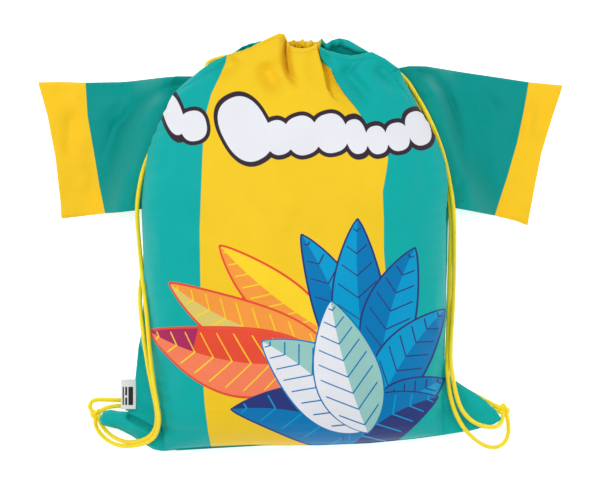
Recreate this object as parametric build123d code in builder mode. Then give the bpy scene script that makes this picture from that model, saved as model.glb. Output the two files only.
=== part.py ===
# Shirt-shaped drawstring bag, stuffed, lying on its back.
# Frame: +Z up from the surface it lies on, +Y towards the mouth of the bag,
# +X towards the right-hand sleeve as seen from the printed front.
# Origin: middle of the bag's footprint, on the surface. Millimetres.
from build123d import *
import math
import os

os.makedirs("parts", exist_ok=True)

# ---------------------------------------------------------------- dimensions
CLOTH = 1.6            # wall that stands for the polyester cloth of the body
SLEEVE_CLOTH = 1.2     # wall that stands for the cloth of the sleeves
SEAM_Z = 50.0          # height of the side seams over the surface
CORD_D = 4.0           # braided drawcord
FULL_FRONT = 2.6       # fullness of the front (superellipse exponent)
FULL_BACK = 3.6        # fullness of the back, flatter where it lies
CHANNEL_W = 22.0       # width of the hem tunnel at the mouth
CHANNEL_H = 8.4        # its height with two cords in it
CHANNEL_WALL = 1.3
REST_PATCH = 1.6       # thickness of the flat patch that carries the bag
LABEL_X = (-165.4, -154.6)
LABEL_Y = (-152.0, -124.5)
LABEL_CLOTH = 0.5

# Body stations from the bottom seam to the neck:
# left edge x, y; right edge x, y; seam z; front crown z; back z;
# front edge over the seam; back edge under the seam
STATIONS = [
    (-125.0, -190.0, 134.0, -175.0, 34.5, 38.1, 30.9, 1.0, 1.0),
    (-126.0, -187.0, 134.4, -172.2, 34.5, 52.5, 20.5, 1.0, 1.0),
    (-127.0, -183.0, 134.5, -168.5, 34.5, 64.0, 12.0, 1.0, 1.0),
    (-128.4, -176.0, 134.2, -161.5, 34.5, 76.0, 6.0, 1.0, 1.0),
    (-129.8, -168.0, 133.5, -154.0, 34.5, 84.5, 3.0, 1.0, 1.0),
    (-132.2, -155.0, 132.0, -143.0, 34.6, 93.5, 1.2, 1.0, 1.0),
    (-134.8, -140.0, 130.6, -130.0, 34.8, 100.5, 0.5, 1.0, 1.0),
    (-138.6, -118.0, 130.0, -112.0, 35.0, 107.5, 0.4, 1.0, 1.0),
    (-141.2, -92.0, 130.8, -88.0, 38.2, 113.0, 0.4, 1.0, 1.0),
    (-142.0, -66.0, 132.6, -64.0, 42.0, 116.6, 0.4, 1.0, 1.0),
    (-142.3, -40.0, 134.2, -40.0, 45.4, 119.0, 0.4, 1.0, 1.0),
    (-143.4, -13.0, 135.2, -13.0, 47.8, 120.0, 0.4, 1.0, 1.0),
    (-144.6, 13.0, 135.6, 13.0, 49.2, 120.0, 0.4, 1.0, 1.0),
    (-144.8, 38.0, 136.4, 38.0, 50.0, 118.2, 0.4, 1.0, 1.0),
    (-143.0, 62.0, 136.2, 62.0, 50.2, 115.0, 0.6, 1.0, 1.0),
    (-139.0, 85.0, 131.6, 85.0, 50.2, 110.0, 2.0, 1.0, 1.0),
    (-132.0, 106.0, 124.0, 106.0, 50.2, 103.4, 5.0, 1.0, 1.0),
    (-125.6, 120.0, 115.6, 120.0, 50.2, 97.5, 9.0, 1.2, 1.2),
    (-119.0, 131.0, 107.5, 131.0, 50.0, 92.0, 13.0, 4.0, 4.0),
    (-111.0, 140.0, 101.8, 140.0, 50.0, 87.0, 16.6, 8.5, 10.5),
    (-103.0, 147.0, 98.5, 147.0, 50.0, 83.0, 19.6, 12.5, 15.0),
    (-92.0, 155.0, 94.0, 155.0, 49.5, 78.6, 22.6, 14.5, 16.5),
    (-79.0, 163.5, 87.0, 163.5, 49.0, 75.0, 25.0, 16.5, 17.0),
    (-58.0, 176.0, 70.0, 176.0, 49.0, 72.5, 27.0, 18.0, 18.0),
]
SPREAD = [-1.0, -0.985, -0.94, -0.85, -0.65, -0.35, 0.0, 0.35, 0.65, 0.85, 0.94, 0.985, 1.0]

# Where the panels stop below the tunnels, in plan
PANEL_TOP = [(-150, 132), (-121, 132.5), (-72, 163), (-61, 150.5), (-43, 158.5), (-12, 166.5),
             (29, 166.5), (45, 161), (63, 149.5), (72, 141), (89, 158), (104, 136), (140, 136)]

# Centre line of each hem tunnel, left end to right end
FRONT_TUNNEL = [(-66, 161.5, 61), (-46, 170.5, 65), (-14, 178.5, 68), (30, 178.5, 68), (50, 174, 66), (68, 166.5, 63), (84, 157.5, 60)]
BACK_TUNNEL = [(-53, 171.5, 34.4), (-36, 175.8, 34), (-14, 179, 33.4), (30, 178.5, 33.4), (50, 174, 33.6), (68, 166.5, 34), (84, 157.5, 34)]

# Flat ears at the two bottom corners, in plan; each slopes down away from the
# edge line it starts at
EAR_FALL = 0.36
EAR_Z = 34.6
EAR_LEFT = [(-133.0, -114), (-140.6, -112.5), (-148.6, -113), (-151.8, -127), (-153.6, -146), (-154.5, -153.5), (-174, -153.8), (-183, -159), (-185, -163),
            (-181.5, -168), (-172, -171.4), (-156, -179), (-146, -185), (-138, -189), (-126, -190.4), (-119.5, -188.0), (-123.5, -168), (-128.0, -140)]
EAR_RIGHT = [(122.7, -114), (131.2, -112.6), (136.4, -113.6), (141.2, -122), (151, -129), (166.5, -141), (175, -148), (183, -156), (186.5, -161),
             (181, -166), (168, -171), (136.2, -174.3), (126.3, -171.1), (125.1, -152), (122.1, -131)]
EAR_LEFT_EDGE = ((-139.5, -112.0), (-0.985, -0.17))
EAR_RIGHT_EDGE = ((131.0, -112.0), (0.998, 0.06))


def station_plane(s):
    xl, yl, xr, yr = s[:4]
    dx, dy = xr - xl, yr - yl
    return Plane(origin=((xl + xr) / 2, (yl + yr) / 2, 0), x_dir=(dx, dy, 0), z_dir=(dy, -dx, 0))


def arch(half, foot, rise, fullness, sign):
    """Points of one cloth arch over the half width, from a foot height."""
    return [(u * half, foot + sign * rise * (1 - abs(u) ** fullness) ** 0.5) for u in SPREAD]


def shell_section(s, front):
    half = math.hypot(s[2] - s[0], s[3] - s[1]) / 2
    if front:
        foot, rise, sign, full = s[4] + s[7], s[5] - s[4] - s[7], 1, FULL_FRONT
    else:
        foot, rise, sign, full = s[4] - s[8], s[4] - s[8] - s[6], -1, FULL_BACK
    outer = arch(half, foot, rise, full, sign)
    inner = arch(half - CLOTH, foot, rise - CLOTH, full, sign)
    with BuildSketch(station_plane(s)) as sk:
        with BuildLine():
            Spline(*outer)
            Line(outer[-1], inner[-1])
            Spline(*inner[::-1])
            Line(inner[0], outer[0])
        make_face()
    return sk.sketch.face()


def ear_leaf(points, edge, under):
    """One cloth layer of an ear: its outline cut out of a sloping slab."""
    (px, py), (nx, ny) = edge
    slab = Plane(origin=(px, py, EAR_Z), x_dir=(nx, ny, -EAR_FALL), z_dir=(nx * EAR_FALL, ny * EAR_FALL, 1))
    with BuildPart(mode=Mode.PRIVATE) as leaf:
        with BuildSketch(Plane.XY):
            Polygon(*points, align=None)
        extrude(amount=70)
        with BuildSketch(slab.offset(-0.35 - CLOTH if under else 0.35)):
            Rectangle(400, 400)
        extrude(amount=CLOTH, mode=Mode.INTERSECT)
    return leaf.part


# ---------------------------------------------------------------- body panels
front_ears = [ear_leaf(EAR_LEFT, EAR_LEFT_EDGE, False), ear_leaf(EAR_RIGHT, EAR_RIGHT_EDGE, False)]
back_ears = [ear_leaf(EAR_LEFT, EAR_LEFT_EDGE, True), ear_leaf(EAR_RIGHT, EAR_RIGHT_EDGE, True)]

with BuildPart() as front_panel:
    loft([shell_section(s, True) for s in STATIONS], ruled=True)
    with BuildSketch(Plane.XY.offset(20)):
        Polygon(*(PANEL_TOP + [(140, 230), (-150, 230)]), align=None)
    extrude(amount=90, mode=Mode.SUBTRACT)
    add(front_ears[0])
    add(front_ears[1])
front_panel.part.label = "front_panel"
export_step(front_panel.part, "parts/front_panel.step")

with BuildPart() as back_panel:
    loft([shell_section(s, False) for s in STATIONS], ruled=True)
    with BuildSketch(Plane.XY.offset(-5)):
        Polygon(*(PANEL_TOP + [(140, 230), (-150, 230)]), align=None)
    extrude(amount=56, mode=Mode.SUBTRACT)
    with BuildSketch(Plane.XY):
        with Locations((-4, -38)):
            RectangleRounded(178, 196, 40)
    extrude(amount=REST_PATCH)
    add(back_ears[0])
    add(back_ears[1])
back_panel.part.label = "back_panel"
export_step(back_panel.part, "parts/back_panel.step")


# ---------------------------------------------------------------- hem tunnels
def tunnel_section(points, i, w, h):
    a, b = points[max(i - 1, 0)], points[min(i + 1, len(points) - 1)]
    dx, dy, dz = (b[k] - a[k] for k in range(3))
    n = math.hypot(dx, dy)
    plane = Plane(origin=points[i], x_dir=(-dy / n, dx / n, 0), z_dir=(dx, dy, dz))
    with BuildSketch(plane) as sk:
        RectangleRounded(w, h, h * 0.42)
    return sk.sketch.face()


def tunnel_sections(points, w, h):
    return [tunnel_section(points, i, w, h) for i in range(len(points))]


with BuildPart() as front_channel:
    loft(tunnel_sections(FRONT_TUNNEL, CHANNEL_W, CHANNEL_H))
    loft(tunnel_sections(FRONT_TUNNEL, CHANNEL_W - 2 * CHANNEL_WALL, CHANNEL_H - 2 * CHANNEL_WALL), mode=Mode.SUBTRACT)
front_channel.part.label = "front_channel"
export_step(front_channel.part, "parts/front_channel.step")

with BuildPart() as back_channel:
    loft(tunnel_sections(BACK_TUNNEL, CHANNEL_W, CHANNEL_H))
    loft(tunnel_sections(BACK_TUNNEL, CHANNEL_W - 2 * CHANNEL_WALL, CHANNEL_H - 2 * CHANNEL_WALL), mode=Mode.SUBTRACT)
back_channel.part.label = "back_channel"
export_step(back_channel.part, "parts/back_channel.step")


# ---------------------------------------------------------------- seams
SEAM_SPAN = (-98.0, 122.0)      # the allowance strips run between these, along Y
SEAM_THICK = 1.4


def seam_strip(left, deep, thick, proud):
    faces = []
    for s in STATIONS:
        x = -math.hypot(s[2] - s[0], s[3] - s[1]) / 2
        with BuildSketch(station_plane(s)) as sk:
            lo, hi = (x - proud, x + deep) if left else (-x - deep, -x + proud)
            with Locations(((lo + hi) / 2, s[4])):
                Rectangle(hi - lo, thick)
        faces.append(sk.sketch.face())
    return faces


with BuildPart() as side_seam_left:
    loft(seam_strip(True, 8, SEAM_THICK, 0.3), ruled=True)
    with BuildSketch(Plane.XZ.offset(-SEAM_SPAN[1])):
        Rectangle(500, 300)
    extrude(amount=SEAM_SPAN[1] - SEAM_SPAN[0], mode=Mode.INTERSECT)
side_seam_left.part.label = "side_seam_left"
export_step(side_seam_left.part, "parts/side_seam_left.step")

with BuildPart() as side_seam_right:
    loft(seam_strip(False, 8, SEAM_THICK, 0.3), ruled=True)
    with BuildSketch(Plane.XZ.offset(-SEAM_SPAN[1])):
        Rectangle(500, 300)
    extrude(amount=SEAM_SPAN[1] - SEAM_SPAN[0], mode=Mode.INTERSECT)
side_seam_right.part.label = "side_seam_right"
export_step(side_seam_right.part, "parts/side_seam_right.step")

# the bottom seam allowance, folded in along the bottom edge
B0 = STATIONS[0]
BX, BY = B0[2] - B0[0], B0[3] - B0[1]
BN = math.hypot(BX, BY)
with BuildPart() as bottom_seam:
    with BuildSketch(Plane(origin=((B0[0] + B0[2]) / 2, (B0[1] + B0[3]) / 2, B0[4] - 0.7), x_dir=(BX, BY, 0), z_dir=(0, 0, 1))):
        with Locations((0, 3.6)):
            Rectangle(BN - 22, 8.4)
    extrude(amount=1.4)
bottom_seam.part.label = "bottom_seam"
export_step(bottom_seam.part, "parts/bottom_seam.step")

# ---------------------------------------------------------------- bar tacks
# thread bars across the top of each side seam, where the mouth's slits begin
TACK_SIZE = (7.0, 2.2, 1.4)
TACKS = [(-119.5, 125.6, 50.0), (109.5, 125.6, 50.0)]
with BuildPart() as bar_tacks:
    with Locations(*TACKS):
        Box(*TACK_SIZE)
bar_tacks.part.label = "bar_tacks"
export_step(bar_tacks.part, "parts/bar_tacks.step")


# ---------------------------------------------------------------- sleeves
# Sections from the fold at the side seam to the cuff: top end x, y; bottom end
# x, y; middle height; clear height between the two layers
LEFT_SLEEVE = [
    ((-103.0, 157.0), (-146.0, 32.0), 50.4, 0.8),
    ((-117.0, 156.2), (-159.0, 30.8), 50.2, 1.0),
    ((-123.0, 155.4), (-164.0, 30.0), 46.5, 1.4),
    ((-129.0, 154.6), (-169.0, 29.2), 39.5, 2.0),
    ((-136.0, 153.7), (-174.0, 28.7), 29.5, 2.8),
    ((-144.0, 152.8), (-179.0, 28.2), 18.5, 3.6),
    ((-153.0, 152.0), (-184.5, 27.6), 10.0, 4.4),
    ((-164.0, 151.4), (-190.5, 27.0), 5.4, 5.0),
    ((-180.0, 150.8), (-198.0, 26.4), 4.4, 6.4),
    ((-243.6, 151.0), (-221.4, 24.0), 4.4, 6.4),
]
RIGHT_SLEEVE = [
    ((93.0, 163.4), (138.5, 34.5), 50.4, 0.8),
    ((107.0, 162.8), (152.5, 31.8), 50.2, 1.0),
    ((113.0, 162.2), (157.0, 31.0), 46.5, 1.4),
    ((119.0, 161.6), (161.5, 30.2), 39.5, 2.0),
    ((126.0, 160.6), (166.0, 29.4), 29.5, 2.8),
    ((134.0, 159.4), (170.5, 28.5), 18.5, 3.6),
    ((143.0, 158.0), (175.5, 27.5), 10.0, 4.4),
    ((154.0, 156.8), (181.0, 26.3), 5.4, 5.0),
    ((170.0, 155.4), (188.5, 24.6), 4.4, 6.4),
    ((244.0, 148.4), (211.0, 17.6), 4.4, 6.4),
]
# body outline with room for the cords' side, which the sleeve cloth stays out of
KEEP_LEFT = [(-149.5, 0), (-150.5, 31), (-150.5, 50), (-146.5, 76), (-139, 100), (-127, 127), (-117.5, 142), (-112, 175), (-60, 175), (-60, 0)]
KEEP_RIGHT = [(143, 0), (143.4, 31), (143.6, 57), (140.5, 76), (134.5, 95), (121.5, 118), (113.6, 136), (109.4, 150), (107, 175), (60, 175), (60, 0)]


def sleeve_section(row, upper, wall=SLEEVE_CLOTH, inset=0.0):
    (xt, yt), (xb, yb), zm, clear = row
    dx, dy = xt - xb, yt - yb
    half = math.hypot(dx, dy) / 2 - inset
    plane = Plane(origin=((xt + xb) / 2, (yt + yb) / 2, 0), x_dir=(dx, dy, 0), z_dir=(dy, -dx, 0))
    floor_z = zm - clear / 2
    with BuildSketch(plane) as sk:
        if upper:
            foot = floor_z + 0.3
            outer = [(u * half, foot + (clear + wall) * (1 - abs(u) ** 6) ** 0.5) for u in SPREAD]
            inner = [(u * (half - wall), foot + clear * (1 - abs(u) ** 6) ** 0.5) for u in SPREAD]
            with BuildLine():
                Spline(*outer)
                Line(outer[-1], inner[-1])
                Spline(*inner[::-1])
                Line(inner[0], outer[0])
            make_face()
        else:
            with Locations((0, floor_z - wall / 2)):
                Rectangle(2 * half, wall)
    return sk.sketch.face()


def sleeve_layer(rows, keep, upper):
    with BuildPart() as layer:
        loft([sleeve_section(r, upper) for r in rows], ruled=True)
        with BuildSketch(Plane.XY.offset(-5)):
            Polygon(*keep, align=None)
        extrude(amount=90, mode=Mode.SUBTRACT)
    return layer


sleeve_left_front = sleeve_layer(LEFT_SLEEVE, KEEP_LEFT, True)
sleeve_left_front.part.label = "sleeve_left_front"
export_step(sleeve_left_front.part, "parts/sleeve_left_front.step")
sleeve_left_back = sleeve_layer(LEFT_SLEEVE, KEEP_LEFT, False)
sleeve_left_back.part.label = "sleeve_left_back"
export_step(sleeve_left_back.part, "parts/sleeve_left_back.step")
sleeve_right_front = sleeve_layer(RIGHT_SLEEVE, KEEP_RIGHT, True)
sleeve_right_front.part.label = "sleeve_right_front"
export_step(sleeve_right_front.part, "parts/sleeve_right_front.step")
sleeve_right_back = sleeve_layer(RIGHT_SLEEVE, KEEP_RIGHT, False)
sleeve_right_back.part.label = "sleeve_right_back"
export_step(sleeve_right_back.part, "parts/sleeve_right_back.step")


# turned-in hems, flat rings just inside the cuff ends
def hem_face(row, grow):
    (xt, yt), (xb, yb), zm, clear = row
    dx, dy = xt - xb, yt - yb
    half = math.hypot(dx, dy) / 2 - 16.0 + grow
    plane = Plane(origin=((xt + xb) / 2, (yt + yb) / 2, 0), x_dir=(dx, dy, 0), z_dir=(dy, -dx, 0))
    with BuildSketch(plane) as sk:
        with Locations((0, zm - 0.1)):
            RectangleRounded(2 * half, 5.6 + 2 * grow, 2.6 + grow)
    return sk.sketch.face()


HEM_WIDE = 15.0


def hem_rows(rows):
    a, b = rows[-2], rows[-1]
    out = []
    for back in (HEM_WIDE + 0.6, 0.6):
        ends = []
        for k in (0, 1):
            (ax, ay), (bx, by) = a[k], b[k]
            n = math.hypot(bx - ax, by - ay)
            f = (n - back) / n
            ends.append((ax + (bx - ax) * f, ay + (by - ay) * f))
        out.append((ends[0], ends[1], b[2], b[3]))
    return out


with BuildPart() as cuff_hem_left:
    loft([hem_face(r, 0.0) for r in hem_rows(LEFT_SLEEVE)])
    loft([hem_face(r, -0.55) for r in hem_rows(LEFT_SLEEVE)], mode=Mode.SUBTRACT)
cuff_hem_left.part.label = "cuff_hem_left"
export_step(cuff_hem_left.part, "parts/cuff_hem_left.step")

with BuildPart() as cuff_hem_right:
    loft([hem_face(r, 0.0) for r in hem_rows(RIGHT_SLEEVE)])
    loft([hem_face(r, -0.55) for r in hem_rows(RIGHT_SLEEVE)], mode=Mode.SUBTRACT)
cuff_hem_right.part.label = "cuff_hem_right"
export_step(cuff_hem_right.part, "parts/cuff_hem_right.step")

# ---------------------------------------------------------------- side label
# a strip folded double, its two ends sewn in the left side seam
LABEL_Z = 29.8
with BuildPart() as side_label:
    with BuildSketch(Plane.XZ.offset(-LABEL_Y[1])):
        with Locations(((LABEL_X[0] + LABEL_X[1]) / 2, LABEL_Z)):
            Rectangle(LABEL_X[1] - LABEL_X[0], 2 * LABEL_CLOTH + 0.5)
        with Locations(((LABEL_X[0] + LABEL_X[1]) / 2 + LABEL_CLOTH, LABEL_Z)):
            Rectangle(LABEL_X[1] - LABEL_X[0], 0.5, mode=Mode.SUBTRACT)
    extrude(amount=LABEL_Y[1] - LABEL_Y[0])
side_label.part.label = "side_label"
export_step(side_label.part, "parts/side_label.step")

# ---------------------------------------------------------------- corner loops
# folded tape tabs under the ears; the ends of the cords go through them
LOOP_TAPE = 1.0
LOOP_EYE = (12.4, 6.6)
LOOP_LONG = 7.0
LOOP_LEFT_AT = (-158.0, -146.8, 10.0)
LOOP_RIGHT_AT = (168.0, -146.0, 11.0)
LOOP_RIGHT_DIR = (-0.88, 0.475, 0)
with BuildPart() as corner_loop_left:
    with BuildSketch(Plane(origin=LOOP_LEFT_AT, x_dir=(0, 1, 0), z_dir=(1, 0, 0))):
        RectangleRounded(LOOP_EYE[0] + 2 * LOOP_TAPE, LOOP_EYE[1] + 2 * LOOP_TAPE, 3.0)
        RectangleRounded(LOOP_EYE[0], LOOP_EYE[1], 2.2, mode=Mode.SUBTRACT)
    extrude(amount=LOOP_LONG / 2, both=True)
    with BuildSketch(Plane.XY.offset(LOOP_LEFT_AT[2] + LOOP_EYE[1] / 2 + LOOP_TAPE - 0.2)):
        with Locations((LOOP_LEFT_AT[0], LOOP_LEFT_AT[1])):
            Rectangle(LOOP_LONG - 1, 3.0)
    extrude(amount=8.6)
corner_loop_left.part.label = "corner_loop_left"
export_step(corner_loop_left.part, "parts/corner_loop_left.step")

with BuildPart() as corner_loop_right:
    loop_plane = Plane(origin=LOOP_RIGHT_AT, x_dir=(LOOP_RIGHT_DIR[1], -LOOP_RIGHT_DIR[0], 0), z_dir=LOOP_RIGHT_DIR)
    with BuildSketch(loop_plane):
        RectangleRounded(LOOP_EYE[0] + 2 * LOOP_TAPE, LOOP_EYE[1] + 2 * LOOP_TAPE, 3.0)
        RectangleRounded(LOOP_EYE[0], LOOP_EYE[1], 2.2, mode=Mode.SUBTRACT)
    extrude(amount=LOOP_LONG / 2, both=True)
    with BuildSketch(Plane.XY.offset(LOOP_RIGHT_AT[2] + LOOP_EYE[1] / 2 + LOOP_TAPE - 0.2)):
        with Locations((LOOP_RIGHT_AT[0], LOOP_RIGHT_AT[1])):
            Rectangle(6.0, 3.0)
    extrude(amount=3.6)
corner_loop_right.part.label = "corner_loop_right"
export_step(corner_loop_right.part, "parts/corner_loop_right.step")

# ---------------------------------------------------------------- drawcords
# Two cords. Each runs through both tunnels and turns back at the far side of
# the mouth; its two ends leave at its own side, run down to the bottom corner
# of that side, and are knotted together beyond the ear. The tails go through
# the corner's tape loop.
def corner_radii(points):
    """The arc at each corner: 0.45 of the shorter run over the tangent of half the turn."""
    out = []
    for a, b, c in zip(points, points[1:], points[2:]):
        u, v = Vector(*b) - Vector(*a), Vector(*c) - Vector(*b)
        turn = math.radians(u.get_angle(v))
        out.append(0.45 * min(u.length, v.length) / math.tan(turn / 2))
    return out


def cord_tube(name, points, diameter=CORD_D):
    radii = corner_radii(points)
    with BuildPart() as tube:
        with BuildLine():
            route = FilletPolyline(*points, radius=radii)
        with BuildSketch(Plane(origin=route @ 0, z_dir=route % 0)):
            Circle(diameter / 2)
        sweep(path=route)
    long = route.length
    want = math.pi * diameter ** 2 / 4 * long
    runs = [(Vector(*b) - Vector(*a)).length for a, b in zip(points, points[1:])]
    print(f"{name}: length {long:.1f} mm, volume {tube.part.volume:.0f} of {want:.0f} mm3, "
          f"least radius {min(radii):.1f} mm ({min(radii) / diameter:.1f} d), runs {min(runs):.1f} to {max(runs):.1f} mm")
    print("   radii", [round(r, 1) for r in radii])
    tube.part.label = name
    export_step(tube.part, f"parts/{name}.step")
    return tube


# in the tunnels, from the end at the front to the end at the back
LEFT_RUN = [(-64.4, 157.9, 61), (-44.8, 166.7, 65), (-13.6, 174.5, 68), (29.7, 174.5, 68), (48.8, 170.2, 66), (66.3, 162.9, 63), (82, 154, 60.2),
            (93.4, 147.6, 59.8), (99.6, 144.9, 46.6), (93.2, 148, 33), (82, 154, 34), (66.3, 162.9, 34), (48.8, 170.2, 33.6), (29.7, 174.5, 33.4),
            (-13.7, 175, 33.4), (-35.2, 171.9, 33.6), (-52, 167.6, 34.6)]
RIGHT_RUN = [(86, 161, 60), (69.7, 170.1, 63), (51.2, 177.8, 66), (30.3, 182.5, 68), (-14.4, 182.5, 68), (-47.2, 174.3, 65), (-67.6, 165.1, 61),
             (-80, 159.6, 59), (-88.2, 162.9, 46.2), (-81, 171, 33.5), (-54, 175.4, 34.4), (-36.8, 179.7, 34), (-14.3, 183, 33.4), (30.3, 182.5, 33.4),
             (51.2, 177.8, 33.6), (69.7, 170.1, 34), (86, 160.8, 34)]
cord_left_run = cord_tube("cord_left_run", LEFT_RUN)
cord_right_run = cord_tube("cord_right_run", RIGHT_RUN)

# free strands, from the mouth of the tunnel to the knot
LEFT_FRONT = [(-64.4, 157.9, 61), (-84, 149.1, 57), (-104.5, 142.5, 55), (-122.8, 134.2, 55.8), (-134.5, 117.5, 57), (-140.8, 96, 57.5), (-146, 74, 57.5),
              (-149.8, 52, 57), (-152, 31, 55), (-151, 9, 48.5), (-148.4, -14, 46), (-146.4, -37, 51), (-143.6, -59, 59), (-140, -80.5, 64.5),
              (-138, -103, 64), (-135.4, -125, 61.5), (-131.4, -144.5, 60.5), (-128.6, -158.5, 58.5), (-129.8, -169.6, 52.5), (-134.5, -178.4, 43.5), (-144.3, -184, 37.5),
              (-158.5, -186.6, 28), (-171, -185.4, 18), (-181.8, -179.4, 10), (-188.6, -171, 7), (-190.2, -161.6, 7.4)]
LEFT_BACK = [(-52, 167.6, 34.6), (-68.8, 163.3, 35.6), (-87, 153.8, 42), (-103.8, 145.2, 46.2), (-118.6, 136.8, 45.4), (-128, 121, 41.5), (-135.6, 103, 40), (-141.6, 84.5, 38),
             (-146, 65, 35), (-147.6, 44, 31.5), (-146.4, 22.5, 28.5), (-145.6, 1, 29), (-148.4, -19, 34.5), (-151.4, -38, 43), (-149.4, -57, 51), (-145.6, -77, 57.5),
             (-142.6, -99, 57.5), (-139.8, -120, 55.5), (-136.2, -141, 54), (-133.4, -155.4, 52.5), (-134.2, -166.4, 47.5), (-138.4, -174.2, 41), (-146.6, -179, 37.5),
             (-158.6, -181.5, 30), (-169, -180.2, 19.5), (-177.2, -175.4, 11.5), (-183, -169.2, 7.6), (-185.8, -160.8, 7)]
RIGHT_FRONT = [(86, 161, 60), (100.7, 152.8, 57.3), (112.4, 141, 57.5), (122, 126, 58), (130.2, 110.4, 58), (136.8, 94, 58), (141.6, 76.5, 58),
               (144.8, 58.5, 57.5), (146, 39, 56), (145.4, 19, 50.5), (144, -2, 43.5), (143.3, -24, 38.5), (142.8, -46, 36), (141.8, -68, 37), (140.4, -89, 40),
               (139.4, -108.5, 41.8), (141.2, -125.5, 41), (144, -139.6, 40), (148.2, -151.4, 38), (155.2, -160.4, 35), (164, -166.2, 31.5),
               (174, -168.9, 27), (182.8, -168.6, 20), (187.6, -163.4, 12.8), (188, -156.4, 9.2)]
RIGHT_BACK = [(86, 160.8, 34), (98.3, 153.8, 34), (104.6, 145.4, 42.5), (110.2, 135.7, 54.8), (118.4, 122.6, 57.5), (126.4, 107.6, 57.5), (132.8, 91, 57.5), (137.6, 73, 57.5),
              (140, 54, 57), (140.4, 35, 56), (140, 15, 48.5), (139.4, -7, 41), (138.6, -29, 36), (138.2, -51, 34.5), (137, -73, 35.5), (135.8, -94, 39), (135.2, -113, 41),
              (136.6, -129, 40.5), (139.2, -144, 39.5), (144.4, -158.6, 37.5), (152, -171, 34), (161.4, -180.2, 26.5), (171.4, -186.8, 17.5), (181.4, -188.6, 10.5),
              (189.8, -184.4, 7), (193.6, -175.6, 6), (193.4, -165.6, 6.2), (191.8, -156.8, 7)]
cord_left_front = cord_tube("cord_left_front", LEFT_FRONT)
cord_left_back = cord_tube("cord_left_back", LEFT_BACK)
cord_right_front = cord_tube("cord_right_front", RIGHT_FRONT)
cord_right_back = cord_tube("cord_right_back", RIGHT_BACK)

# tails beyond the knots
TAIL_LEFT_LONG = [(-192, -155.8, 7.2), (-196, -151.4, 7.6), (-193.8, -145.4, 8), (-187.2, -143.6, 8.8), (-177.5, -143.9, 9.6), (-167.5, -144.3, 10), (-157.5, -144, 10), (-147.5, -142.6, 10.4)]
TAIL_LEFT_SHORT = [(-186.4, -153.4, 8), (-180.4, -150.7, 9), (-172, -149.8, 9.8), (-163, -149.5, 10), (-154, -149.3, 10), (-146, -148.5, 9.6)]
TAIL_RIGHT_LONG = [(185.2, -150.8, 8.2), (177.4, -147.4, 9.8), (169.2, -143.2, 11), (160.4, -138.2, 11.6), (151.4, -134.2, 11.6)]
TAIL_RIGHT_SHORT = [(185, -155.4, 6.8), (176, -152.4, 8.8), (166.8, -147.8, 10.8), (157.6, -142.7, 11.4)]
tail_left_long = cord_tube("tail_left_long", TAIL_LEFT_LONG)
tail_left_short = cord_tube("tail_left_short", TAIL_LEFT_SHORT)
tail_right_long = cord_tube("tail_right_long", TAIL_RIGHT_LONG)
tail_right_short = cord_tube("tail_right_short", TAIL_RIGHT_SHORT)

# the knots, as the outer shape of one overhand knot in the doubled cord
KNOT_LEFT_AT = (-188.6, -157.6, 7.4)
KNOT_RIGHT_AT = (188.8, -153.2, 7.8)
KNOT_CORE = 4.4
with BuildPart() as knot_left:
    with Locations(KNOT_LEFT_AT):
        Sphere(KNOT_CORE)
    with Locations(Plane(origin=KNOT_LEFT_AT, z_dir=(0.3, 1, 0.25))):
        Torus(3.4, 2.0)
knot_left.part.label = "knot_left"
export_step(knot_left.part, "parts/knot_left.step")
with BuildPart() as knot_right:
    with Locations(KNOT_RIGHT_AT):
        Sphere(KNOT_CORE)
    with Locations(Plane(origin=KNOT_RIGHT_AT, z_dir=(-0.4, 1, 0.25))):
        Torus(3.4, 2.0)
knot_right.part.label = "knot_right"
export_step(knot_right.part, "parts/knot_right.step")
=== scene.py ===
# Shirt-shaped drawstring bag, filled and lying on its back.
# Row frame: +Z up from the floor, +Y to the gathered mouth, +X to the right-hand
# sleeve. Lengths below are millimetres in that frame; meshes are written in metres.
import math

import bmesh  # noqa: E402
import bpy  # noqa: E402
import numpy as np  # noqa: E402
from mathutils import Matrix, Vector  # noqa: E402


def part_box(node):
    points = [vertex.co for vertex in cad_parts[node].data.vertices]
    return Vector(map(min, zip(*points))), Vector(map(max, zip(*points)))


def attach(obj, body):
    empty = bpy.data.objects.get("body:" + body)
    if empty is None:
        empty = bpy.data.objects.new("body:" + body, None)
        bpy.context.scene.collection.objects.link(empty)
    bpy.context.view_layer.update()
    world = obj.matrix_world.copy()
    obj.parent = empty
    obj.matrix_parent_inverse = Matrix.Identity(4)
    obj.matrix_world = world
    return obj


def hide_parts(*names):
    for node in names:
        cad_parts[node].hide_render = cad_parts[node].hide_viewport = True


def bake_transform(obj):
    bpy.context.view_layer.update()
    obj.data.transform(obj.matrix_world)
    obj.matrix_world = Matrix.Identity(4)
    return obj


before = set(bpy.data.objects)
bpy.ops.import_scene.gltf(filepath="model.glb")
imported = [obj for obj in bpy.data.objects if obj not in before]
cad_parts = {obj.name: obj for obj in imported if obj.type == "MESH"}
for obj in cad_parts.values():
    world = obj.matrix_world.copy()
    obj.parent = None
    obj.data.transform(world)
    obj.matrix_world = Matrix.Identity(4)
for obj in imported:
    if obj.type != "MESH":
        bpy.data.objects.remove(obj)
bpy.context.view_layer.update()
MM = 0.001

scene = bpy.context.scene
scene.view_settings.view_transform = "Standard"
scene.view_settings.look = "None"

# ---------------------------------------------------------------- camera
FRAME_WIDTH = 0.552      # width of the picture at the height of the side seams
CAMERA_RISE = 4.6
cam_data = bpy.data.cameras.new("camera")
cam_data.sensor_width = 36.0
cam_data.lens = 36.0 * CAMERA_RISE / FRAME_WIDTH
cam_data.clip_end = 50
camera = bpy.data.objects.new("camera", cam_data)
scene.collection.objects.link(camera)
camera.location = (0.0, 0.0009, CAMERA_RISE + 0.045)
scene.camera = camera


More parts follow.
